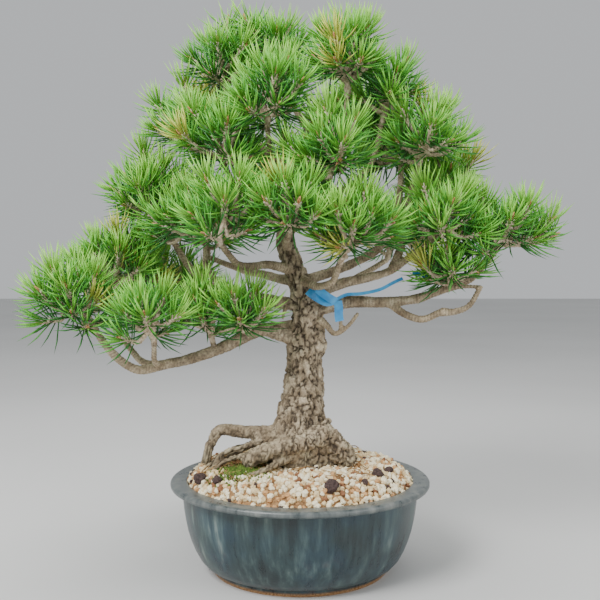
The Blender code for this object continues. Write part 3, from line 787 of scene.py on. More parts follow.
@dataclass
class Crown:
    """The spaces of the masses, and the shoots that grow in them by the seeded rule."""

    least_bend: float = 4.0
    short_way_in: float = 12.0
    root_back: float = 1.8
    tested: tuple[float, ...] = (0.35, 0.7, 1.0)
    bare_share: float = 0.9
    finer: int = 11
    tries: int = 200
    usual_reach: float = 56.0
    nearest_heads: float = 19.0
    fine_shares: tuple[float, float] = (0.2, 0.8)
    fine_lifts: tuple[float, float] = (0.5, 1.0)
    fine_shoot: float = 17.0
    fine_radius: float = 1.9
    fine_margin: float = 0.01
    fine_anchors: tuple[float, float] = (0.45, 0.8)
    fine_drop: float = 20.0
    along_twig: float = 0.7
    outwards: float = 0.6
    sag: float = 1.5
    shortest_fine_twig: float = 3.0
    steepest_fall: float = -0.7

    def __post_init__(self) -> None:
        """Gather the spaces, and the limbs as short straight runs."""
        self.centres = np.array([mass.centre for mass in MASSES], float)
        self.reaches = np.array([mass.reach for mass in MASSES], float)
        runs = straight_runs(LIMBS)
        self.starts, self.ends, self.radii = runs[:, 0:3], runs[:, 3:6], runs[:, 6:8].max(axis=1)

    def inside(self, number: int, points: list, margin: float = SPACE_MARGIN) -> bool:
        """Whether every point lies in the space of one mass, away from the neighbours' spaces.

        Args:
            number: The mass's place in the list of masses.
            points: The points.
            margin: How much nearer to this mass than to any other they have to be.

        Returns:
            Whether they all do.
        """
        points = np.array(points, float)
        shares = np.linalg.norm((points[:, None] - self.centres) / self.reaches, axis=2)
        own = shares[:, number].copy()
        shares[:, number] = np.inf
        return bool(np.all(own < 1.0) and np.all(own + margin < shares.min(axis=1)))

    def away(self, points: np.ndarray) -> np.ndarray:
        """How far each point lies from the surface of the nearest limb.

        Args:
            points: The points.

        Returns:
            The distances in millimetres.
        """
        along = self.ends - self.starts
        square = (along * along).sum(axis=1)
        found = []
        for block in np.array_split(np.asarray(points, float), max(1, len(points) // BLOCK)):
            share = ((block[:, None] - self.starts) * along).sum(axis=2) / square
            nearest = self.starts + np.clip(share, 0.0, 1.0)[:, :, None] * along
            found.append((np.linalg.norm(block[:, None] - nearest, axis=2) - self.radii).min(axis=1))
        return np.concatenate(found)

    def clear(self, points: list) -> bool:
        """Whether every point keeps clear of the trunk and the boughs."""
        return bool(self.away(np.array(points, float)).min() > LIMB_CLEARANCE)

    def stem_start(self, mass: Mass) -> tuple[Vector, Vector, float]:
        """Where the stem of a mass begins.

        Args:
            mass: The mass.

        Returns:
            The point, the direction and the radius.
        """
        limb = next(limb for limb in LIMBS if limb.name == mass.bough)
        line = limb_line(limb)
        centre = Vector(mass.centre)
        tip, radius = line[-1]
        if not mass.from_side:
            axis = (tip - line[-2][0]).normalized()
            return tip + axis * GAP, axis, radius
        point, radius = min(line, key=lambda spot: (spot[0] - centre).length)
        axis = (centre - point).normalized()
        return point + axis * (radius + GAP + SIDE_STEM_GAP), axis, SIDE_STEM_RADIUS

    def grow(self, number: int, mass: Mass) -> list[Shoot]:
        """Grow the main shoots by the solids' rule, then finer ones off their twigs.

        Args:
            number: The mass's place in the list of masses.
            mass: The mass.

        Returns:
            Its shoots, with the stem as the path of the first.
        """
        draw = random.Random(mass.name)
        centre, reach = Vector(mass.centre), Vector(mass.reach)
        start, axis, radius = self.stem_start(mass)
        bend = start + axis * max(self.least_bend, radius * 1.5)
        way_in = centre - bend
        far = way_in.length > self.short_way_in
        hub = bend + (way_in * HUB_SHARE if far else axis * self.least_bend)
        root = hub - (hub - bend).normalized() * self.root_back
        shoots = []
        for index in range(mass.sprays):
            height = TOP_HEAD - HEAD_FALL * (index + 0.5) / mass.sprays
            flat = math.sqrt(1.0 - height * height)
            turn = index * GOLDEN_ANGLE
            way = Vector((flat * math.cos(turn), flat * math.sin(turn), height))
            way = (way + Vector([draw.uniform(-HEAD_SCATTER, HEAD_SCATTER) for _ in range(3)])).normalized()
            head = centre + Vector([w * r for w, r in zip(way, reach)]) * HEAD_SHARE
            shoot = ((head - hub).normalized() + way * OUTWARD_PULL + UP * UPWARD_PULL).normalized()
            foot = head - shoot * (SPRAY_LENGTH * self.bare_share)
            twig = foot - root
            if twig.length < SHORTEST_TWIG or twig.normalized().dot(shoot) < SHARPEST_TURN:
                continue
            run = [hub.lerp(foot, part) for part in self.tested] + [foot.lerp(head, 0.5), head]
            if self.inside(number, run) and self.clear(run):
                path = [start - axis * 2.0, bend, hub, foot, head]
                shoots.append(Shoot(path, radius, foot, head, shoot, True, way.z, number))
        return shoots + self.finer_shoots(number, mass, hub, shoots)

    def finer_shoots(self, number: int, mass: Mass, hub: Vector, shoots: list[Shoot]) -> list[Shoot]:
        """Side shoots that leave the main twigs and fill the same space.

        Args:
            number: The mass's place in the list of masses.
            mass: The mass.
            hub: Where its twigs part.
            shoots: Its main shoots.

        Returns:
            The side shoots.
        """
        draw = random.Random("finer " + mass.name)
        centre, reach = Vector(mass.centre), Vector(mass.reach)
        heads = [shoot.head for shoot in shoots]
        anchors = [hub] + [hub.lerp(shoot.foot, part) for shoot in shoots for part in self.fine_anchors]
        wanted = round(self.finer * reach.x / self.usual_reach)
        made = []
        for _ in range(self.tries):
            if len(made) == wanted:
                break
            way = Vector([draw.gauss(0, 1) for _ in range(3)]).normalized()
            share = draw.uniform(*self.fine_shares)
            lift = draw.uniform(*self.fine_lifts)
            head = centre + Vector([w * r for w, r in zip(way, reach)]) * share
            anchor = min(anchors, key=lambda spot: ((spot - head).length
                                                    + 0.5 * abs(spot.z - head.z + self.fine_drop)))
            axis = (head - anchor).normalized() * self.along_twig + way * self.outwards + UP * lift
            axis.normalize()
            foot = head - axis * self.fine_shoot
            crowded = any((head - other).length < self.nearest_heads for other in heads)
            if way.z < self.steepest_fall or crowded or (foot - anchor).length < self.shortest_fine_twig:
                continue
            run = [foot, foot.lerp(head, 0.5), head]
            if self.inside(number, [foot, head], self.fine_margin) and self.clear(run):
                heads.append(head)
                path = [anchor, anchor.lerp(foot, 0.5) - UP * self.sag, foot, head]
                made.append(Shoot(path, self.fine_radius, foot, head, axis, False, way.z, number))
        return made


@dataclass
class PlacingTree:
    """A Geometry Nodes tree that sets a small shape on every point, turned and sized by attributes."""

    name: str = "set_on_points"
    inputs: tuple[tuple[str, str, float | int | None], ...] = (
        ("Points", "Geometry", None), ("Shape", "Object", None), ("Finish", "Material", None))

    def build(self) -> bpy.types.NodeTree:
        """Build the tree: a shape on each point, realized and given a finish.

        Returns:
            The tree.
        """
        tree = bpy.data.node_groups.new(self.name, "GeometryNodeTree")
        for name, kind, value in self.inputs:
            socket = tree.interface.new_socket(name, in_out="INPUT", socket_type="NodeSocket" + kind)
            if value is not None:
                socket.default_value = value
        tree.interface.new_socket("Pieces", in_out="OUTPUT", socket_type="NodeSocketGeometry")
        add = partial(add_node, tree)
        start = add("NodeGroupInput").outputs
        shape = add("GeometryNodeObjectInfo", {"Object": start["Shape"]}).outputs["Geometry"]
        points, turn, size = self.points(add, start)
        placed = add("GeometryNodeInstanceOnPoints", {"Points": points, "Instance": shape, "Rotation": turn,
                                                      "Scale": size})
        whole = add("GeometryNodeRealizeInstances", {0: placed})
        finished = add("GeometryNodeSetMaterial", {0: whole, "Material": start["Finish"]})
        add("NodeGroupOutput", {0: finished})
        return tree

    def points(self, add: AddNode, start: bpy.types.NodeOutputs) -> tuple:
        """The points, and the turn and size of the shape on each.

        Args:
            add: Adds a node to the tree.
            start: The tree's own inputs.

        Returns:
            A node or socket for each of the three.
        """
        turn = add("GeometryNodeInputNamedAttribute", {"Name": "turn"}, data_type="QUATERNION")
        size = add("GeometryNodeInputNamedAttribute", {"Name": "size"}, data_type="FLOAT_VECTOR")
        return start["Points"], turn.outputs[0], size.outputs[0]


@dataclass
class GritTree(PlacingTree):
    """A Geometry Nodes tree that packs grains on a surface and keeps one share of them."""

    name: str = "grit_on_surface"
    inputs: tuple[tuple[str, str, float | int | None], ...] = (
        ("Surface", "Geometry", None), ("Shape", "Object", None), ("Finish", "Material", None),
        ("Spacing", "Float", 0.0036), ("Smallest", "Float", 0.7), ("Largest", "Float", 1.25),
        ("From", "Float", 0.0), ("To", "Float", 1.0), ("Seed", "Int", 7))
    most_per_square_metre: float = 90000.0
    flattest: Point = (0.75, 0.75, 0.7)
    longest: Point = (1.25, 1.1, 1.05)

    def points(self, add: AddNode, start: bpy.types.NodeOutputs) -> tuple:
        """Spaced points on the faces, a share of them picked by a seeded draw.

        Args:
            add: Adds a node to the tree.
            start: The tree's own inputs.

        Returns:
            A node or socket for the points, the turn and the size of the grain on each.
        """
        spots = add("GeometryNodeDistributePointsOnFaces", {
            "Mesh": start["Surface"], "Distance Min": start["Spacing"], "Seed": start["Seed"],
            "Density Max": self.most_per_square_metre}, distribute_method="POISSON").outputs["Points"]
        chance = add("FunctionNodeRandomValue", {"Seed": 3}, data_type="FLOAT").outputs[1]
        low, high = (add("FunctionNodeCompare", {0: chance, 1: start[name]}, operation=rule,
                         data_type="FLOAT")
                     for name, rule in (("From", "LESS_THAN"), ("To", "GREATER_EQUAL")))
        other = add("FunctionNodeBooleanMath", {0: low, 1: high}, operation="OR")
        kept = add("GeometryNodeDeleteGeometry", {0: spots, 1: other}, domain="POINT")
        turn = add("FunctionNodeRandomValue", {"Seed": 11, 1: (math.tau, math.tau, math.tau)},
                   data_type="FLOAT_VECTOR").outputs[0]
        size = add("FunctionNodeRandomValue", {"Seed": 12, 2: start["Smallest"], 3: start["Largest"]},
                   data_type="FLOAT").outputs[1]
        stretch = add("FunctionNodeRandomValue", {"Seed": 13, 0: self.flattest, 1: self.longest},
                      data_type="FLOAT_VECTOR").outputs[0]
        scale = add("ShaderNodeVectorMath", {0: stretch, 3: size}, operation="SCALE").outputs[0]
        return kept, turn, scale


def run_tree(name: str, source: bpy.types.Object, tree: bpy.types.NodeTree, values: dict,
             smooth: bool = True) -> bpy.types.Object:
    """Run a Geometry Nodes tree on an object and keep the result as a plain mesh.

    Args:
        name: The new piece's name.
        source: The object that the tree works on.
        tree: The tree.
        values: Its inputs by name.
        smooth: Whether the piece is shaded smooth.

    Returns:
        The new piece.
    """
    modifier = source.modifiers.new("Grow", "NODES")
    modifier.node_group = tree
    for item in tree.interface.items_tree:
        if item.in_out == "INPUT" and item.name in values:
            modifier[item.identifier] = values[item.name]
    mesh = settled(source)
    source.modifiers.remove(modifier)
    mesh.name = name
    for attribute in ("turn", "size"):
        if attribute in mesh.attributes:
            mesh.attributes.remove(mesh.attributes[attribute])
    return put(name, mesh, smooth)


@dataclass
class Wood:
    """The trunk, its surface roots, the boughs and a few bare twigs, as one skin with bark relief."""

    voxel: float = 1.38
    sides: int = 14
    trunk_sides: int = 60
    lump: float = 0.07
    lumps_round: float = 1.6
    lump_height: float = 26.0
    flare_base: float = 0.55
    flare_ridges: float = 0.6
    collar: float = 0.3
    collar_length: float = 7.0
    knuckle: float = 0.12
    knuckle_gap: float = 11.0
    step: float = 3.0
    plate_depth: float = 2.6
    plate_width: float = 6.6
    plate_height: float = 14.5
    seed: int = 5
    scar_pitch: float = 3.1
    scar_depth: float = 0.3
    young_radius: float = 3.6
    ageing: float = 6.5
    full_radius: float = 15.0
    least_depth: float = 0.2
    root_depth: float = 0.28
    plate_rise: float = 0.75
    crack_fall: float = 1.05
    root_top: float = 148.0
    root_fade: float = 12.0
    root_age: float = 0.85
    crack_edge: float = 0.02
    crack_width: float = 0.2
    flake_width: float = 0.3

    def build(self) -> bpy.types.Object:
        """Join the limbs in one skin, raise the bark and dress it.

        Returns:
            The piece.
        """
        draft = MeshDraft()
        self.add_trunk(draft)
        for limb in LIMBS + SURFACE_ROOTS + BARE_TWIGS:
            self.add_limb(draft, limb)
        rough = draft.piece("wood")
        remesh = rough.modifiers.new("Skin", "REMESH")
        remesh.mode = "VOXEL"
        remesh.voxel_size = self.voxel * MM
        relax = rough.modifiers.new("Relax", "SMOOTH")
        relax.iterations = 4
        mesh = settled(rough)
        remove(rough)
        self.raise_bark(mesh)
        piece = put("bark_of_trunk_and_boughs", mesh)
        mesh.materials.clear()
        nodes = ("trunk",) + tuple("bough_" + limb.name for limb in LIMBS)
        return dress(piece, nodes, BarkFinish("weathered_pine_bark", roughness=0.88, ior=1.45))

    def add_trunk(self, draft: MeshDraft) -> None:
        """Loft the trunk with its flare and root ridges.

        Args:
            draft: The mesh to add to.
        """
        corners = []
        line = trunk_line(self.step)
        for point, radius in line:
            rise = point.z - TRUNK_ROUTE[0][2]
            flare = FLARE_REACH * math.exp(-max(0.0, rise - FLARE_START) / FLARE_HEIGHT)
            for side in range(self.trunk_sides):
                angle = 360.0 * side / self.trunk_sides
                turn = math.radians(angle)
                spot = Vector((math.cos(turn) * self.lumps_round, math.sin(turn) * self.lumps_round,
                               point.z / self.lump_height))
                swell = 1.0 + self.lump * noise.noise(spot)
                reach = radius * swell + flare * (self.flare_base + self.flare_ridges * root_ridge(angle))
                corners.append(point + Vector((reach * math.cos(turn), reach * math.sin(turn), 0)))
        draft.add(np.array([corner[:] for corner in corners]), tube_faces(len(line), self.trunk_sides))

    def add_limb(self, draft: MeshDraft, limb: Limb) -> None:
        """Add one limb as a fine tube with a collar at its base and knuckles along it.

        Args:
            draft: The mesh to add to.
            limb: The limb.
        """
        line = limb_line(limb)
        points = smooth_route(tuple(tuple(point) for point, _ in line), self.step)
        coarse = np.linspace(0, 1, len(line))
        share = np.linspace(0, 1, len(points))
        radii = np.interp(share, coarse, [radius for _, radius in line])
        run = share * len(points) * self.step
        seed = sum(map(ord, limb.name))
        knuckles = np.array([noise.noise(Vector((along / self.knuckle_gap, seed, 0.0))) for along in run])
        radii = radii * (1.0 + self.collar * np.exp(-run / self.collar_length) + self.knuckle * knuckles)
        draft.tube(np.array([point[:] for point in points]), radii, self.sides)

    def raise_bark(self, mesh: bpy.types.Mesh) -> None:
        """Raise plates and cracks where the wood is old, and leaf scars where it is young.

        Args:
            mesh: The skin, whose corners are moved and given a crack and an age.
        """
        count = len(mesh.vertices)
        places, normals = np.empty(count * 3), np.empty(count * 3)
        mesh.vertices.foreach_get("co", places)
        mesh.vertices.foreach_get("normal", normals)
        places, normals = places.reshape(-1, 3) / MM, normals.reshape(-1, 3)
        radius, travel, spin = self.along_limbs(places)
        low = np.clip((self.root_top - places[:, 2]) / self.root_fade, 0.0, 1.0)
        age = np.maximum(np.clip((radius - self.young_radius) / self.ageing, 0.0, 1.0), self.root_age * low)
        crack, lift = self.plates(places)
        scar = np.cos(math.tau * travel / self.scar_pitch + 3.0 * spin)
        least = self.least_depth + self.root_depth * low
        scale = self.plate_depth * np.clip(radius / self.full_radius, least, 1.0)
        relief = self.plate_rise * lift - self.crack_fall * crack
        shift = age * scale * relief + (1 - age) * self.scar_depth * scar
        places += normals * shift[:, None]
        places[:, 2] = np.maximum(places[:, 2], SOIL_TOP - 1.5)
        mesh.vertices.foreach_set("co", (places * MM).ravel())
        dark = np.clip(age * crack ** 1.2 * 0.95 + (1 - age) * np.clip(-scar - 0.25, 0, 1) * 0.7, 0, 1)
        for name, values in (("crack", dark), ("age", age)):
            attribute = mesh.attributes.new(name, "FLOAT", "POINT")
            attribute.data.foreach_set("value", values)
        mesh.update()

    def along_limbs(self, places: np.ndarray) -> tuple[np.ndarray, np.ndarray, np.ndarray]:
        """Where each point of the skin lies on its nearest limb.

        Args:
            places: The points in millimetres.

        Returns:
            The limb's radius there, how far along it and how far round it each point is.
        """
        count = len(places)
        runs = straight_runs(LIMBS + SURFACE_ROOTS + BARE_TWIGS)
        starts, along = runs[:, 0:3], runs[:, 3:6] - runs[:, 0:3]
        square = (along * along).sum(axis=1)
        radius, travel, spin = np.empty(count), np.empty(count), np.empty(count)
        for block in np.array_split(np.arange(count), max(1, count // BLOCK)):
            offset = places[block][:, None] - starts
            share = np.clip((offset * along).sum(axis=2) / square, 0.0, 1.0)
            nearest = offset - share[:, :, None] * along
            local = runs[:, 6] + share * (runs[:, 7] - runs[:, 6])
            best = (np.linalg.norm(nearest, axis=2) - local).argmin(axis=1)
            rows = np.arange(len(block))
            radius[block] = local[rows, best]
            travel[block] = runs[best, 8] + share[rows, best] * np.sqrt(square[best])
            out = nearest[rows, best]
            spin[block] = np.arctan2(out[:, 1] + 0.3 * out[:, 2], out[:, 0])
        return radius, travel, spin

    def plates(self, places: np.ndarray) -> tuple[np.ndarray, np.ndarray]:
        """Upright corky plates with flaking faces.

        Args:
            places: Points of the skin in millimetres.

        Returns:
            How deep in a crack and how high on a plate each point is, from about zero to one.
        """
        # The offsets of noise_vector come from the random state, which otherwise starts from the clock.
        noise.seed_set(self.seed)
        crack, lift = np.empty(len(places)), np.empty(len(places))
        for index, (x, y, z) in enumerate(places):
            spot = Vector((x / self.plate_width, y / self.plate_width, z / self.plate_height))
            warp = noise.noise_vector(spot * 0.8) * 0.75 + noise.noise_vector(spot * 2.6) * 0.3
            ends, seeds = noise.voronoi(spot + warp)
            flakes, _ = noise.voronoi(spot * 2.4 + warp)
            gap, flake = ends[1] - ends[0], flakes[1] - flakes[0]
            crack[index] = 1.0 - min(1.0, max(0.0, (gap - self.crack_edge) / self.crack_width))
            lift[index] = (noise.cell(seeds[0]) * 0.75 + 0.6 * noise.fractal(spot * 2.2, 1.0, 2.0, 3)
                           + 0.25 * min(self.flake_width, flake) / self.flake_width)
        return crack, lift


def basis(axis: np.ndarray, towards: np.ndarray) -> Matrix:
    """A turn whose Z runs along an axis and whose X leans towards a direction.

    Args:
        axis: The axis, of length one.
        towards: The direction.

    Returns:
        The turn.
    """
    side = towards - axis * axis.dot(towards)
    side /= max(1e-6, np.linalg.norm(side))
    other = np.cross(axis, side)
    return Matrix((side, other, axis)).transposed()


@dataclass
class Foliage:
    """All the twigs, needles, sheaths and buds of the crown."""

    scatter: bpy.types.NodeTree
    length: float = 34.0
    half_width: float = 0.84
    bends: tuple[float, float] = (1.5, 4.6)
    main_needles: int = 46
    fine_needles: int = 34
    lowest_lean: float = 76.0
    lean_range: float = 58.0
    lean_scatter: float = 9.0
    turn_scatter: float = 0.35
    needle_rise: float = 0.10
    bare_foot: float = 0.16
    root_radius: float = 1.2
    past_box: float = 4.0
    free_air: float = 0.3
    upper_tier: float = 0.4
    yellow_from: float = 0.93
    # Weights of the tint: the needle's tier, which is its age; its shoot's height and reach in the mass,
    # which paint light on top and outside and shade inside and below; and chance.
    tint_weights: tuple[float, float, float, float] = (0.75, 0.3, 0.55, 0.3)
    tint_steps: tuple[tuple[float, NeedleTint], ...] = (
        (0.8, NeedleTint.NEW), (0.5, NeedleTint.BRIGHT), (0.22, NeedleTint.MIDDLE))
    main_twig: float = 2.9
    fine_twig: float = 2.2
    twig_taper: float = 1.6
    twig_middle: float = 2.1
    scar_spacing: float = 1.7
    scar_depth: float = 0.13
    bud_spread: float = 0.42
    bud_drop: float = 1.5
    bud_lengths: tuple[float, float] = (1.15, 0.8)
    small_buds: tuple[int, int] = (4, 2)
    small_bud: Point = (0.65, 0.65, 0.62)
    rng: np.random.Generator = field(default_factory=lambda: np.random.default_rng(1127))

    def build(self) -> None:
        """Grow every mass, then make each kind of piece."""
        crown = Crown()
        shoots = [shoot for number, mass in enumerate(MASSES) for shoot in crown.grow(number, mass)]
        LOG.info("%d shoots", len(shoots))
        self.make_twigs(shoots)
        self.make_needles(crown, shoots)
        self.make_buds(shoots)

    def make_twigs(self, shoots: list[Shoot]) -> None:
        """Make the twigs as one piece, ringed with the scars of old needles.

        Args:
            shoots: Every shoot of the crown.
        """
        draft = MeshDraft()
        for shoot in shoots:
            points = smooth_route(tuple(tuple(point) for point in shoot.path), self.scar_spacing)
            share = np.linspace(0, 1, len(points))
            end = self.main_twig if shoot.main else self.fine_twig
            thinning = (self.twig_middle - shoot.start_radius) * share * self.twig_taper
            radii = np.maximum(end, shoot.start_radius + thinning)
            radii = radii * (1.0 + self.scar_depth * np.where(np.arange(len(points)) % 2, 1, -1))
            radii[-1] *= 0.6
            draft.tube(np.array([point[:] for point in points]), radii, 6)
        dress(draft.piece("twigs"), FOLIAGE_NODES, YOUNG_BARK)

    def make_needles(self, crown: Crown, shoots: list[Shoot]) -> None:
        """Set needles round every shoot, deal them out by tint and join them in pieces.

        Args:
            crown: The spaces of the masses.
            shoots: Every shoot of the crown.
        """
        low, high = (np.array([value / MM for value in corner]) for corner in CAD_BOX)
        groups: dict[NeedleTint, list] = {tint: [] for tint in NeedleTint}
        sheaths = []
        for shoot in shoots:
            bases, ways, lengths, tiers = self.spray(shoot)
            tips = bases + ways * lengths[:, None]
            middles = bases + ways * lengths[:, None] * 0.55
            clear = np.minimum(crown.away(middles), crown.away(tips)) > self.free_air
            boxed = np.all((tips > low - self.past_box) & (tips < high + self.past_box), axis=1)
            for index in np.flatnonzero(clear & boxed):
                turn = self.turn_of(ways[index])
                size = (1.0, 1.0, lengths[index] / self.length)
                groups[self.tint(shoot, tiers[index])].append((bases[index], turn, size))
                if tiers[index] > self.upper_tier and index % 2:
                    sheaths.append((bases[index], turn, (1.0, 1.0, 1.0)))
        blank = self.needle_blank()
        for tint, rows in groups.items():
            dark, light = tint.value
            # The cuticle's wax gives the needles a satin light. Each tint is partly one age of needle and
            # partly painted light and shade by the needle's place in its mass.
            finish = NeedleFinish("pine_needle_" + tint.name.lower(), roughness=0.42, ior=1.45, dark=dark,
                                  light=light)
            self.scatter_rows("needles_" + tint.name.lower(), rows, blank, finish)
        remove(blank)
        sleeve = self.spindle("sleeve_blank", ((-0.6, 0.0, 1.25), (3.6, 0.05, 1.0)), 4)
        self.scatter_rows("needle_sheaths", sheaths, sleeve, SHEATH)
        remove(sleeve)

    def spray(self, shoot: Shoot) -> tuple[np.ndarray, np.ndarray, np.ndarray, np.ndarray]:
        """The needles of one shoot.

        Args:
            shoot: The shoot.

        Returns:
            Their roots, their directions, their lengths and how far up the shoot each stands.
        """
        count = self.main_needles if shoot.main else self.fine_needles
        draw = self.rng
        tier = 1.0 - (1.0 - np.linspace(0.0, 1.0, count)) ** 1.25
        around = np.arange(count) * GOLDEN_ANGLE + draw.uniform(-self.turn_scatter, self.turn_scatter, count)
        lean = np.radians(self.lowest_lean - self.lean_range * tier
                          + draw.uniform(-self.lean_scatter, self.lean_scatter, count))
        axis = np.array(shoot.axis)
        side = np.cross(axis, (0.37, -0.21, 0.91))
        side /= np.linalg.norm(side)
        other = np.cross(axis, side)
        out = np.cos(around)[:, None] * side + np.sin(around)[:, None] * other
        ways = axis * np.cos(lean)[:, None] + out * np.sin(lean)[:, None]
        ways += np.array((0, 0, self.needle_rise))
        ways /= np.linalg.norm(ways, axis=1)[:, None]
        foot, head = np.array(shoot.foot), np.array(shoot.head)
        share = self.bare_foot + (1.0 - self.bare_foot) * tier
        bases = foot + (head - foot) * share[:, None] + out * self.root_radius
        lengths = self.length * draw.uniform(0.8, 1.06, count) * (1.0 - 0.12 * (tier > 0.8))
        return bases, ways, lengths, tier

    def turn_of(self, way: np.ndarray) -> tuple[float, float, float, float]:
        """The turn of a needle along its direction, bent a little upwards."""
        lift = np.array((self.rng.uniform(-0.6, 0.6), self.rng.uniform(-0.6, 0.6), 1.0))
        return tuple(basis(way, lift).to_quaternion())

    def tint(self, shoot: Shoot, tier: float) -> NeedleTint:
        """Deal out a tint by spray: new on top, deeper towards the old wood, with painted light on upper,
        outer shoots and painted shade inside the mass and below.

        Args:
            shoot: The shoot.
            tier: How far up the shoot the needle stands, from zero to one.

        Returns:
            The needle's tint.
        """
        spread = (shoot.head.x * 0.37 + shoot.head.y * 0.73 + shoot.head.z * 0.51) % 1.0
        mass = MASSES[shoot.mass]
        out = math.hypot(*((h - c) / r for h, c, r in zip(shoot.head, mass.centre, mass.reach)))
        by_tier, by_height_painted_light, by_reach_painted_shade, by_chance = self.tint_weights
        # The tier gives the needle's age; the shoot's height and its reach from the middle of the mass paint
        # light on top and outside and shade inside and below.
        step = by_tier * tier + by_height_painted_light * shoot.shade + by_reach_painted_shade * (out - 0.4) + by_chance * (spread - 0.5)
        if spread > self.yellow_from and tier > self.upper_tier:
            return NeedleTint.YELLOW
        return next((tint for limit, tint in self.tint_steps if step > limit), NeedleTint.DEEP)

    def make_buds(self, shoots: list[Shoot]) -> None:
        """Set a large bud and a few small ones at the head of every shoot.

        Args:
            shoots: Every shoot of the crown.
        """
        rows = []
        for shoot in shoots:
            axis, head = np.array(shoot.axis), np.array(shoot.head)
            kind = 0 if shoot.main else 1
            rows.append((head, self.turn_of(axis), (1.0, 1.0, self.bud_lengths[kind])))
            for _ in range(self.small_buds[kind]):
                tilt = axis + self.rng.normal(0, self.bud_spread, 3)
                tilt /= np.linalg.norm(tilt)
                rows.append((head - axis * self.bud_drop, self.turn_of(tilt), self.small_bud))
        rings = ((-1.0, 0.0, 1.1), (1.2, 0.0, 1.75), (4.0, 0.0, 1.7), (7.4, 0.0, 1.0), (9.6, 0.0, 0.15))
        blank = self.spindle("bud_blank", rings, 6)
        self.scatter_rows("buds", rows, blank, BUD)
        remove(blank)

    def scatter_rows(self, name: str, rows: list, blank: bpy.types.Object, finish: Finish) -> None:
        """Set a shape on rows of places, turns and sizes, in pieces under the triangle limit.

        Args:
            name: The start of the pieces' names.
            rows: For each shape its place in millimetres, its turn and its size.
            blank: The shape.
            finish: Its finish.
        """
        material = finish.build()
        parts = max(1, math.ceil(len(rows) / (PIECE_TRIANGLES // triangles_of(blank))))
        for part in range(parts):
            chosen = rows[part::parts]
            if not chosen:
                continue
            mesh = bpy.data.meshes.new("spots")
            mesh.vertices.add(len(chosen))
            mesh.vertices.foreach_set("co", (np.array([row[0] for row in chosen]) * MM).ravel())
            for column, (label, kind, key) in enumerate((("turn", "QUATERNION", "value"),
                                                         ("size", "FLOAT_VECTOR", "vector")), 1):
                attribute = mesh.attributes.new(label, kind, "POINT")
                attribute.data.foreach_set(key, np.array([row[column] for row in chosen], float).ravel())
            spots = put("spots", mesh, smooth=False)
            piece = run_tree(f"{name}_{part + 1}", spots, self.scatter, {"Shape": blank, "Finish": material})
            remove(spots)
            dress(piece, FOLIAGE_NODES)

    def needle_blank(self) -> bpy.types.Object:
        """One needle: three-sided, even in width for most of its length, bent and pointed.

        Returns:
            The blank.
        """
        corners, faces = [], [(2, 1, 0)]
        for height, bend, width in ((0.0, 0.0, self.half_width * 0.75),
                                    (self.length * 0.6, self.bends[0], self.half_width)):
            for side in range(3):
                turn = math.tau * side / 3
                corners.append((bend + width * math.cos(turn), width * math.sin(turn), height))
        corners.append((self.bends[1], 0.0, self.length))
        for side in range(3):
            after = (side + 1) % 3
            faces += [(side, after, 3 + after, 3 + side), (3 + side, 3 + after, 6)]
        draft = MeshDraft()
        draft.add(np.array(corners), faces)
        return draft.piece("needle_blank")

    def spindle(self, name: str, rings: tuple[Point, ...],
                sides: int) -> bpy.types.Object:
        """A small sheath or bud, standing on its root.

        Args:
            name: Its name.
            rings: The height, the shift to the side and the radius of each ring.
            sides: How many sides it has.

        Returns:
            The blank.
        """
        heights, shifts, radii = np.array(rings).T
        draft = MeshDraft()
        draft.tube(np.stack([shifts, heights * 0, heights], axis=1), radii, sides)
        return draft.piece(name)


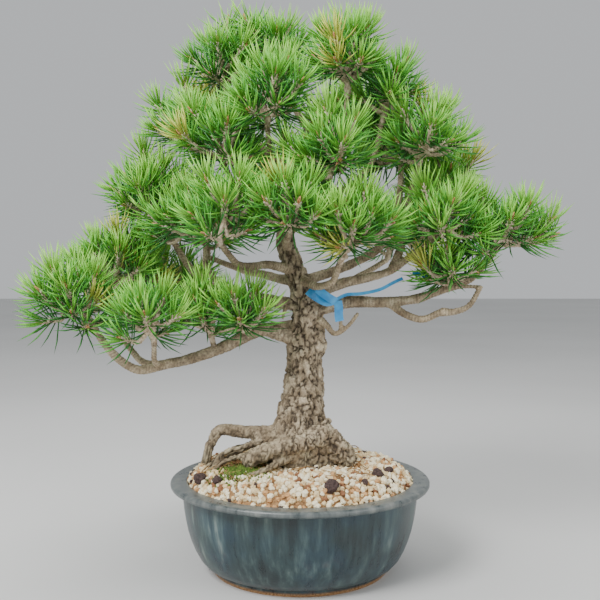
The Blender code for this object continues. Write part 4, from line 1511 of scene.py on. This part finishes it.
@dataclass
class Soil:
    """The heaped grit, lava stones, moss and dropped needles on top of the pot."""

    grit: bpy.types.NodeTree
    spacing: float = 3.6
    grain_radius: float = 2.7
    radius: float = 112.0
    rings: int = 22
    sides: int = 72
    bed_drop: float = 1.2
    bed_bottom: float = 60.0
    heap: tuple[tuple[float, float], ...] = ((0, 106.5), (60, 105.5), (96, 101.5), (105, 95.5), (112, 88.0))
    mound: tuple[float, float] = (-78, 4)
    mound_reach: tuple[float, float] = (26, 45)
    mound_height: float = 4.0
    stones: tuple[Point, ...] = ((-96, -44, 12), (-78, -62, 9), (29, -92, 13), (74, -52, 12), (86, -34, 9),
                                 (60, -74, 7))
    stone_lumps: float = 0.34
    stone_pits: float = 0.32
    moss_stems: int = 1300
    moss_centre: tuple[float, float] = (-56, -44)
    moss_spread: float = 17
    moss_edge: float = 106
    litter: int = 150
    litter_centre: tuple[float, float] = (-58, -28)
    litter_spread: float = 18
    litter_reach: float = 85
    litter_edge: float = 107

    def height(self, x: float, y: float) -> float:
        """The height of the heap.

        Args:
            x: Millimetres to the right.
            y: Millimetres to the back.

        Returns:
            The height in millimetres.
        """
        fall = np.interp(math.hypot(x, y), *zip(*self.heap))
        aside = [(at - middle) / reach for at, middle, reach in zip((x, y), self.mound, self.mound_reach)]
        left = self.mound_height * math.exp(-aside[0] ** 2 - aside[1] ** 2)
        return float(fall + left + 1.3 * noise.noise(Vector((x / 14, y / 14, 0.4))))

    def build(self) -> None:
        """Make the bed, the grains by tint, the stones, the moss and the litter."""
        self.make_bed()
        draft = MeshDraft()
        draft.add(*self.surface())
        top = draft.piece("soil_top")
        for number, tint in enumerate(GritTint):
            dark, light, start, end = tint.value
            blank = self.grain_blank(number)
            # Crushed pumice and fired clay: matt and sandy to the eye, each grain one even colour.
            label = tint.name.lower()
            finish = GrainFinish("pumice_" + label, roughness=0.9, ior=1.5, dark=dark, light=light)
            values = {"Shape": blank, "Finish": finish.build(), "Spacing": self.spacing * MM,
                      "From": start, "To": end}
            dress(run_tree("grit_" + label, top, self.grit, values, smooth=False))
            remove(blank)
        remove(top)
        self.make_stones()
        self.make_moss()
        self.make_litter()

    def surface(self) -> tuple[np.ndarray, list]:
        """A round patch of the heap's surface.

        Returns:
            Its corners in millimetres and its faces.
        """
        corners = [(0.0, 0.0, self.height(0, 0))]
        for ring in range(1, self.rings + 1):
            for side in range(self.sides):
                turn = math.tau * side / self.sides
                away = self.radius * ring / self.rings
                x, y = away * math.cos(turn), away * math.sin(turn)
                corners.append((x, y, self.height(x, y)))
        faces = [(0, 1 + side, 1 + (side + 1) % self.sides) for side in range(self.sides)]
        for ring in range(self.rings - 1):
            low, high = 1 + ring * self.sides, 1 + (ring + 1) * self.sides
            for side in range(self.sides):
                after = (side + 1) % self.sides
                faces.append((low + side, high + side, high + after, low + after))
        return np.array(corners), faces

    def make_bed(self) -> None:
        """The dark fine soil under and between the grains, closed below inside the pot."""
        corners, faces = self.surface()
        corners[:, 2] -= self.bed_drop
        rim = 1 + (self.rings - 1) * self.sides
        base = len(corners)
        lower = corners[rim:rim + self.sides].copy()
        lower[:, 2] = self.bed_bottom
        lower[:, :2] *= 0.985
        for side in range(self.sides):
            after = (side + 1) % self.sides
            faces.append((rim + side, base + side, base + after, rim + after))
        faces.append(tuple(base + side for side in reversed(range(self.sides))))
        draft = MeshDraft()
        draft.add(np.concatenate([corners, lower]), faces)
        dress(draft.piece("soil_bed"), ("soil",), SOIL)

    def grain_blank(self, number: int) -> bpy.types.Object:
        """One rough grain, as a lumpy ball.

        Args:
            number: Which of the grains it is.

        Returns:
            The blank.
        """
        size = self.grain_radius * MM
        shape = bmesh.new()
        bmesh.ops.create_icosphere(shape, subdivisions=2, radius=size)
        for corner in shape.verts:
            spot = corner.co / size
            corner.co *= 1.0 + 0.6 * noise.noise(spot * 1.3 + Vector((number * 7.1, 0, 0)))
        return put("grain_blank", shape, smooth=False)

    def make_stones(self) -> None:
        """The few large dark lava stones near the rim."""
        shape = bmesh.new()
        for number, (x, y, size) in enumerate(self.stones):
            made = bmesh.ops.create_icosphere(shape, subdivisions=4, radius=size * 0.5)
            for corner in made["verts"]:
                spot = corner.co / (size * 0.5)
                rough = self.stone_lumps * noise.noise(spot * 1.1 + Vector((number * 3.7, 1, 0)))
                pits = -self.stone_pits * max(0.0, noise.noise(spot * 4.5 + Vector((0, number, 3))))
                corner.co *= 1.0 + rough + pits
                corner.co += Vector((x, y, self.height(x, y) + size * 0.22))
        bmesh.ops.scale(shape, vec=(MM, MM, MM), verts=shape.verts)
        dress(put("lava_stones", shape), finish=LAVA)

    def make_moss(self) -> None:
        """A cushion of moss at the left of the trunk, as short pointed stems."""
        draw = random.Random(41)
        draft = MeshDraft()
        for _ in range(self.moss_stems):
            turn, away = draw.uniform(0, math.tau), abs(draw.gauss(0, 1))
            x = self.moss_centre[0] + self.moss_spread * away * math.cos(turn)
            y = self.moss_centre[1] + self.moss_spread * away * math.sin(turn)
            if math.hypot(x, y) > self.moss_edge or away > 2.0:
                continue
            z = self.height(x, y) - 0.5 + 2.2 * (1.0 - away / 2.0)
            lean = np.array((draw.gauss(0, 0.35), draw.gauss(0, 0.35), 1.0))
            tall = draw.uniform(2.0, 4.2)
            points = np.array((x, y, z)) + lean * np.array((-0.5, 0.45, 1.0))[:, None] * tall
            draft.tube(points, np.array((0.75, 0.8, 0.12)), 4)
        dress(draft.piece("moss"), finish=MOSS)

    def make_litter(self) -> None:
        """Dry needles and rootlets, thickest at the left of the trunk."""
        draw = random.Random(77)
        draft = MeshDraft()
        for number in range(self.litter):
            x, y = (draw.gauss(middle, self.litter_spread) if number % 3
                    else draw.uniform(-self.litter_reach, self.litter_reach)
                    for middle in self.litter_centre)
            turn, size = draw.uniform(0, math.tau), draw.uniform(9, 17)
            ends = [(x + part * size * math.cos(turn + 0.3 * part),
                     y + part * size * math.sin(turn + 0.3 * part)) for part in (-1.0, -0.4, 0.3, 1.0)]
            if max(math.hypot(*end) for end in ends) > self.litter_edge:
                continue
            points = [(*end, self.height(*end) + draw.uniform(1.2, 4.2)) for end in ends]
            draft.tube(np.array(points), np.array((0.5, 0.6, 0.55, 0.35)), 4)
        dress(draft.piece("dry_needles"), finish=DRY_NEEDLE)


@dataclass
class Pot:
    """The round bowl: rolled lip, full wall, groove over the foot."""

    sides: int = 144
    lip_round: tuple[float, float] = (2.9, 3.1)
    uneven: float = 0.0022
    sharp_edge: float = 50
    wall: tuple[tuple[float, float], ...] = (
        (0.2, 81.5), (0.0, 74.0), (-0.9, 64.0), (-2.4, 54.0), (-4.6, 43.0), (-7.6, 33.0), (-11.4, 23.5),
        (-16.0, 15.0), (-21.0, 9.4), (-25.2, 7.2))
    foot: tuple[tuple[float, float], ...] = ((1.2, 6.7), (0.4, 6.0), (0.6, 5.2), (0.4, 1.0), (-0.4, 0.0))

    def profile(self) -> list[tuple[float, float]]:
        """The outline from the middle of the floor, round the wall, to the middle of the underside.

        Returns:
            The radius and the height of each point, in millimetres.
        """
        inside = RIM_RADIUS - RIM_WIDTH
        wide, tall = self.lip_round
        points = [(0.0, 62.0), (inside - 4.0, 62.0), (inside - 0.6, 80.0), (inside - 0.2, RIM_HEIGHT - 2.0),
                  (inside + 0.6, RIM_HEIGHT - 0.5), (inside + 2.0, RIM_HEIGHT),
                  (inside + 8.0, RIM_HEIGHT - 0.1), (RIM_RADIUS - 4.5, RIM_HEIGHT)]
        for step in range(9):
            turn = math.radians(90 - 22.5 * step)
            points.append((RIM_RADIUS - wide + wide * math.cos(turn),
                           RIM_HEIGHT - tall + tall * math.sin(turn)))
        points += [(RIM_RADIUS - 7.0, RIM_HEIGHT - 6.4), (WALL_RADIUS + 1.4, RIM_HEIGHT - 7.2)]
        points += [(WALL_RADIUS + away, height) for away, height in self.wall]
        return points + [(FOOT_RADIUS + away, height) for away, height in self.foot] + [(0.0, 0.0)]

    def build(self) -> None:
        """Turn the profile and dress it."""
        shape = bmesh.new()
        rings = []
        for radius, height in self.profile():
            ring = []
            for side in range(self.sides if radius else 1):
                turn = math.tau * side / self.sides
                swell = noise.noise(Vector((math.cos(turn), math.sin(turn), height / 60)))
                away = min(radius * (1.0 + self.uneven * swell), RIM_RADIUS) * MM
                ring.append(shape.verts.new((away * math.cos(turn), away * math.sin(turn), height * MM)))
            rings.append(ring)
        for low, high in zip(rings, rings[1:]):
            for side in range(self.sides):
                after = (side + 1) % self.sides
                if len(low) == 1:
                    corners = (low[0], high[side], high[after])
                elif len(high) == 1:
                    corners = (low[side], high[0], low[after])
                else:
                    corners = (low[side], high[side], high[after], low[after])
                shape.faces.new(corners)
        bmesh.ops.recalc_face_normals(shape, faces=shape.faces)
        piece = put("glazed_pot", shape)
        piece.data.set_sharp_from_angle(angle=math.radians(self.sharp_edge))
        dress(piece, ("pot",), GlazeFinish("streaked_glaze", roughness=0.3, ior=1.52))


@dataclass(frozen=True)
class Ribbon:
    """One strip of tape: its route, its width and the direction that it is wide in."""

    route: tuple[Point, ...]
    width: float
    across: Point


@dataclass
class Tape:
    """The blue plastic marking tape that is tied round the base of the right boughs."""

    thickness: float = 0.35
    spacing: float = 2.5
    ribbons: tuple[Ribbon, ...] = (
        Ribbon(((8, -14, 279), (16, -19, 273), (26, -20, 268), (34, -19, 270)), 9.0, (0.25, 0.35, 1.0)),
        Ribbon(((17, -20, 281), (24, -22, 275), (32, -21, 270), (36, -19, 268)), 8.0, (0.5, 0.2, 1.0)),
        Ribbon(((37, -19, 269), (38, -21, 262), (38, -20, 255), (39, -19, 249)), 8.5, (1.0, 0.15, 0.0)),
        Ribbon(((35, -18, 270), (46, -17, 275), (60, -18, 276), (78, -20, 280), (92, -19, 287),
                (101, -17, 291)), 3.2, (0.1, 0.25, 1.0)),
        Ribbon(((110, -21, 296), (118, -22, 295), (126, -21, 292)), 4.0, (0.1, 0.3, 1.0)),
    )

    def build(self) -> None:
        """Make each ribbon as a thin closed strip."""
        draft = MeshDraft()
        for ribbon in self.ribbons:
            self.add_ribbon(draft, ribbon)
        dress(draft.piece("marking_tape", smooth=False), finish=TAPE)

    def add_ribbon(self, draft: MeshDraft, ribbon: Ribbon) -> None:
        """Add one ribbon.

        Args:
            draft: The mesh to add to.
            ribbon: The ribbon.
        """
        points = smooth_route(ribbon.route, self.spacing)
        across = Vector(ribbon.across).normalized()
        corners = []
        for index, point in enumerate(points):
            ahead = (points[min(index + 1, len(points) - 1)] - points[max(index - 1, 0)]).normalized()
            side = (across - ahead * across.dot(ahead)).normalized()
            flat = ahead.cross(side) * (self.thickness / 2)
            half = side * (ribbon.width / 2)
            corners += [point + half + flat, point - half + flat, point - half - flat, point + half - flat]
        draft.add(np.array([corner[:] for corner in corners]), tube_faces(len(points), 4))


@dataclass(frozen=True)
class Lamp:
    """A soft square area light: its place and size in metres and its power in watts."""

    name: str
    place: Point
    size: float
    power: float


@dataclass
class Studio:
    """A pale floor, soft lights and the camera at the photograph's viewing angle."""

    distance: float = 0.871
    eye: float = 0.304
    pitch: float = 2.3
    lens: float = 52.08
    floor_size: float = 14.0
    middle: Point = (0.0, 0.0, 0.3)
    room_light: float = 0.7
    lamps: tuple[Lamp, ...] = (
        Lamp("key", (-0.9, -1.1, 1.5), 0.8, 43.0), Lamp("fill", (1.3, -0.9, 0.9), 1.2, 11.0),
        Lamp("top", (0.1, 0.3, 1.8), 1.2, 16.0))

    def build(self) -> None:
        """Set up the floor, the lights, the sky and the camera."""
        scene = bpy.context.scene
        camera = bpy.data.cameras.new("camera")
        camera.lens = self.lens
        camera.sensor_width = 36.0
        camera.sensor_fit = "HORIZONTAL"
        holder = bpy.data.objects.new("camera", camera)
        scene.collection.objects.link(holder)
        holder.location = (0.0, -self.distance, self.eye)
        holder.rotation_euler = (math.radians(90.0 - self.pitch), 0.0, 0.0)
        scene.camera = holder
        bpy.ops.mesh.primitive_plane_add(size=self.floor_size)
        floor = bpy.context.active_object
        floor.name = "floor"
        floor.data.materials.append(PAPER.build())
        for lamp in self.lamps:
            self.light(lamp)
        world = bpy.data.worlds.new("room")
        scene.world = world
        world.use_nodes = True
        sky = world.node_tree.nodes["Background"]
        sky.inputs["Color"].default_value = linear("#e6e9ec")
        sky.inputs["Strength"].default_value = self.room_light

    def light(self, lamp: Lamp) -> None:
        """Add a soft area light that looks at the middle of the tree.

        Args:
            lamp: The light.
        """
        light = bpy.data.lights.new(lamp.name, "AREA")
        light.size = lamp.size
        light.energy = lamp.power
        holder = bpy.data.objects.new(lamp.name, light)
        bpy.context.scene.collection.objects.link(holder)
        holder.location = lamp.place
        aim = Vector(self.middle) - holder.location
        holder.rotation_euler = aim.to_track_quat("-Z", "Y").to_euler()


def main() -> None:
    """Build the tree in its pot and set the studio."""
    logging.basicConfig(level=logging.INFO, format="%(name)s %(message)s")
    Studio().build()
    Pot().build()
    Soil(GritTree().build()).build()
    Wood().build()
    Foliage(PlacingTree().build()).build()
    Tape().build()
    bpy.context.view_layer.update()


if __name__ == "__main__":
    main()
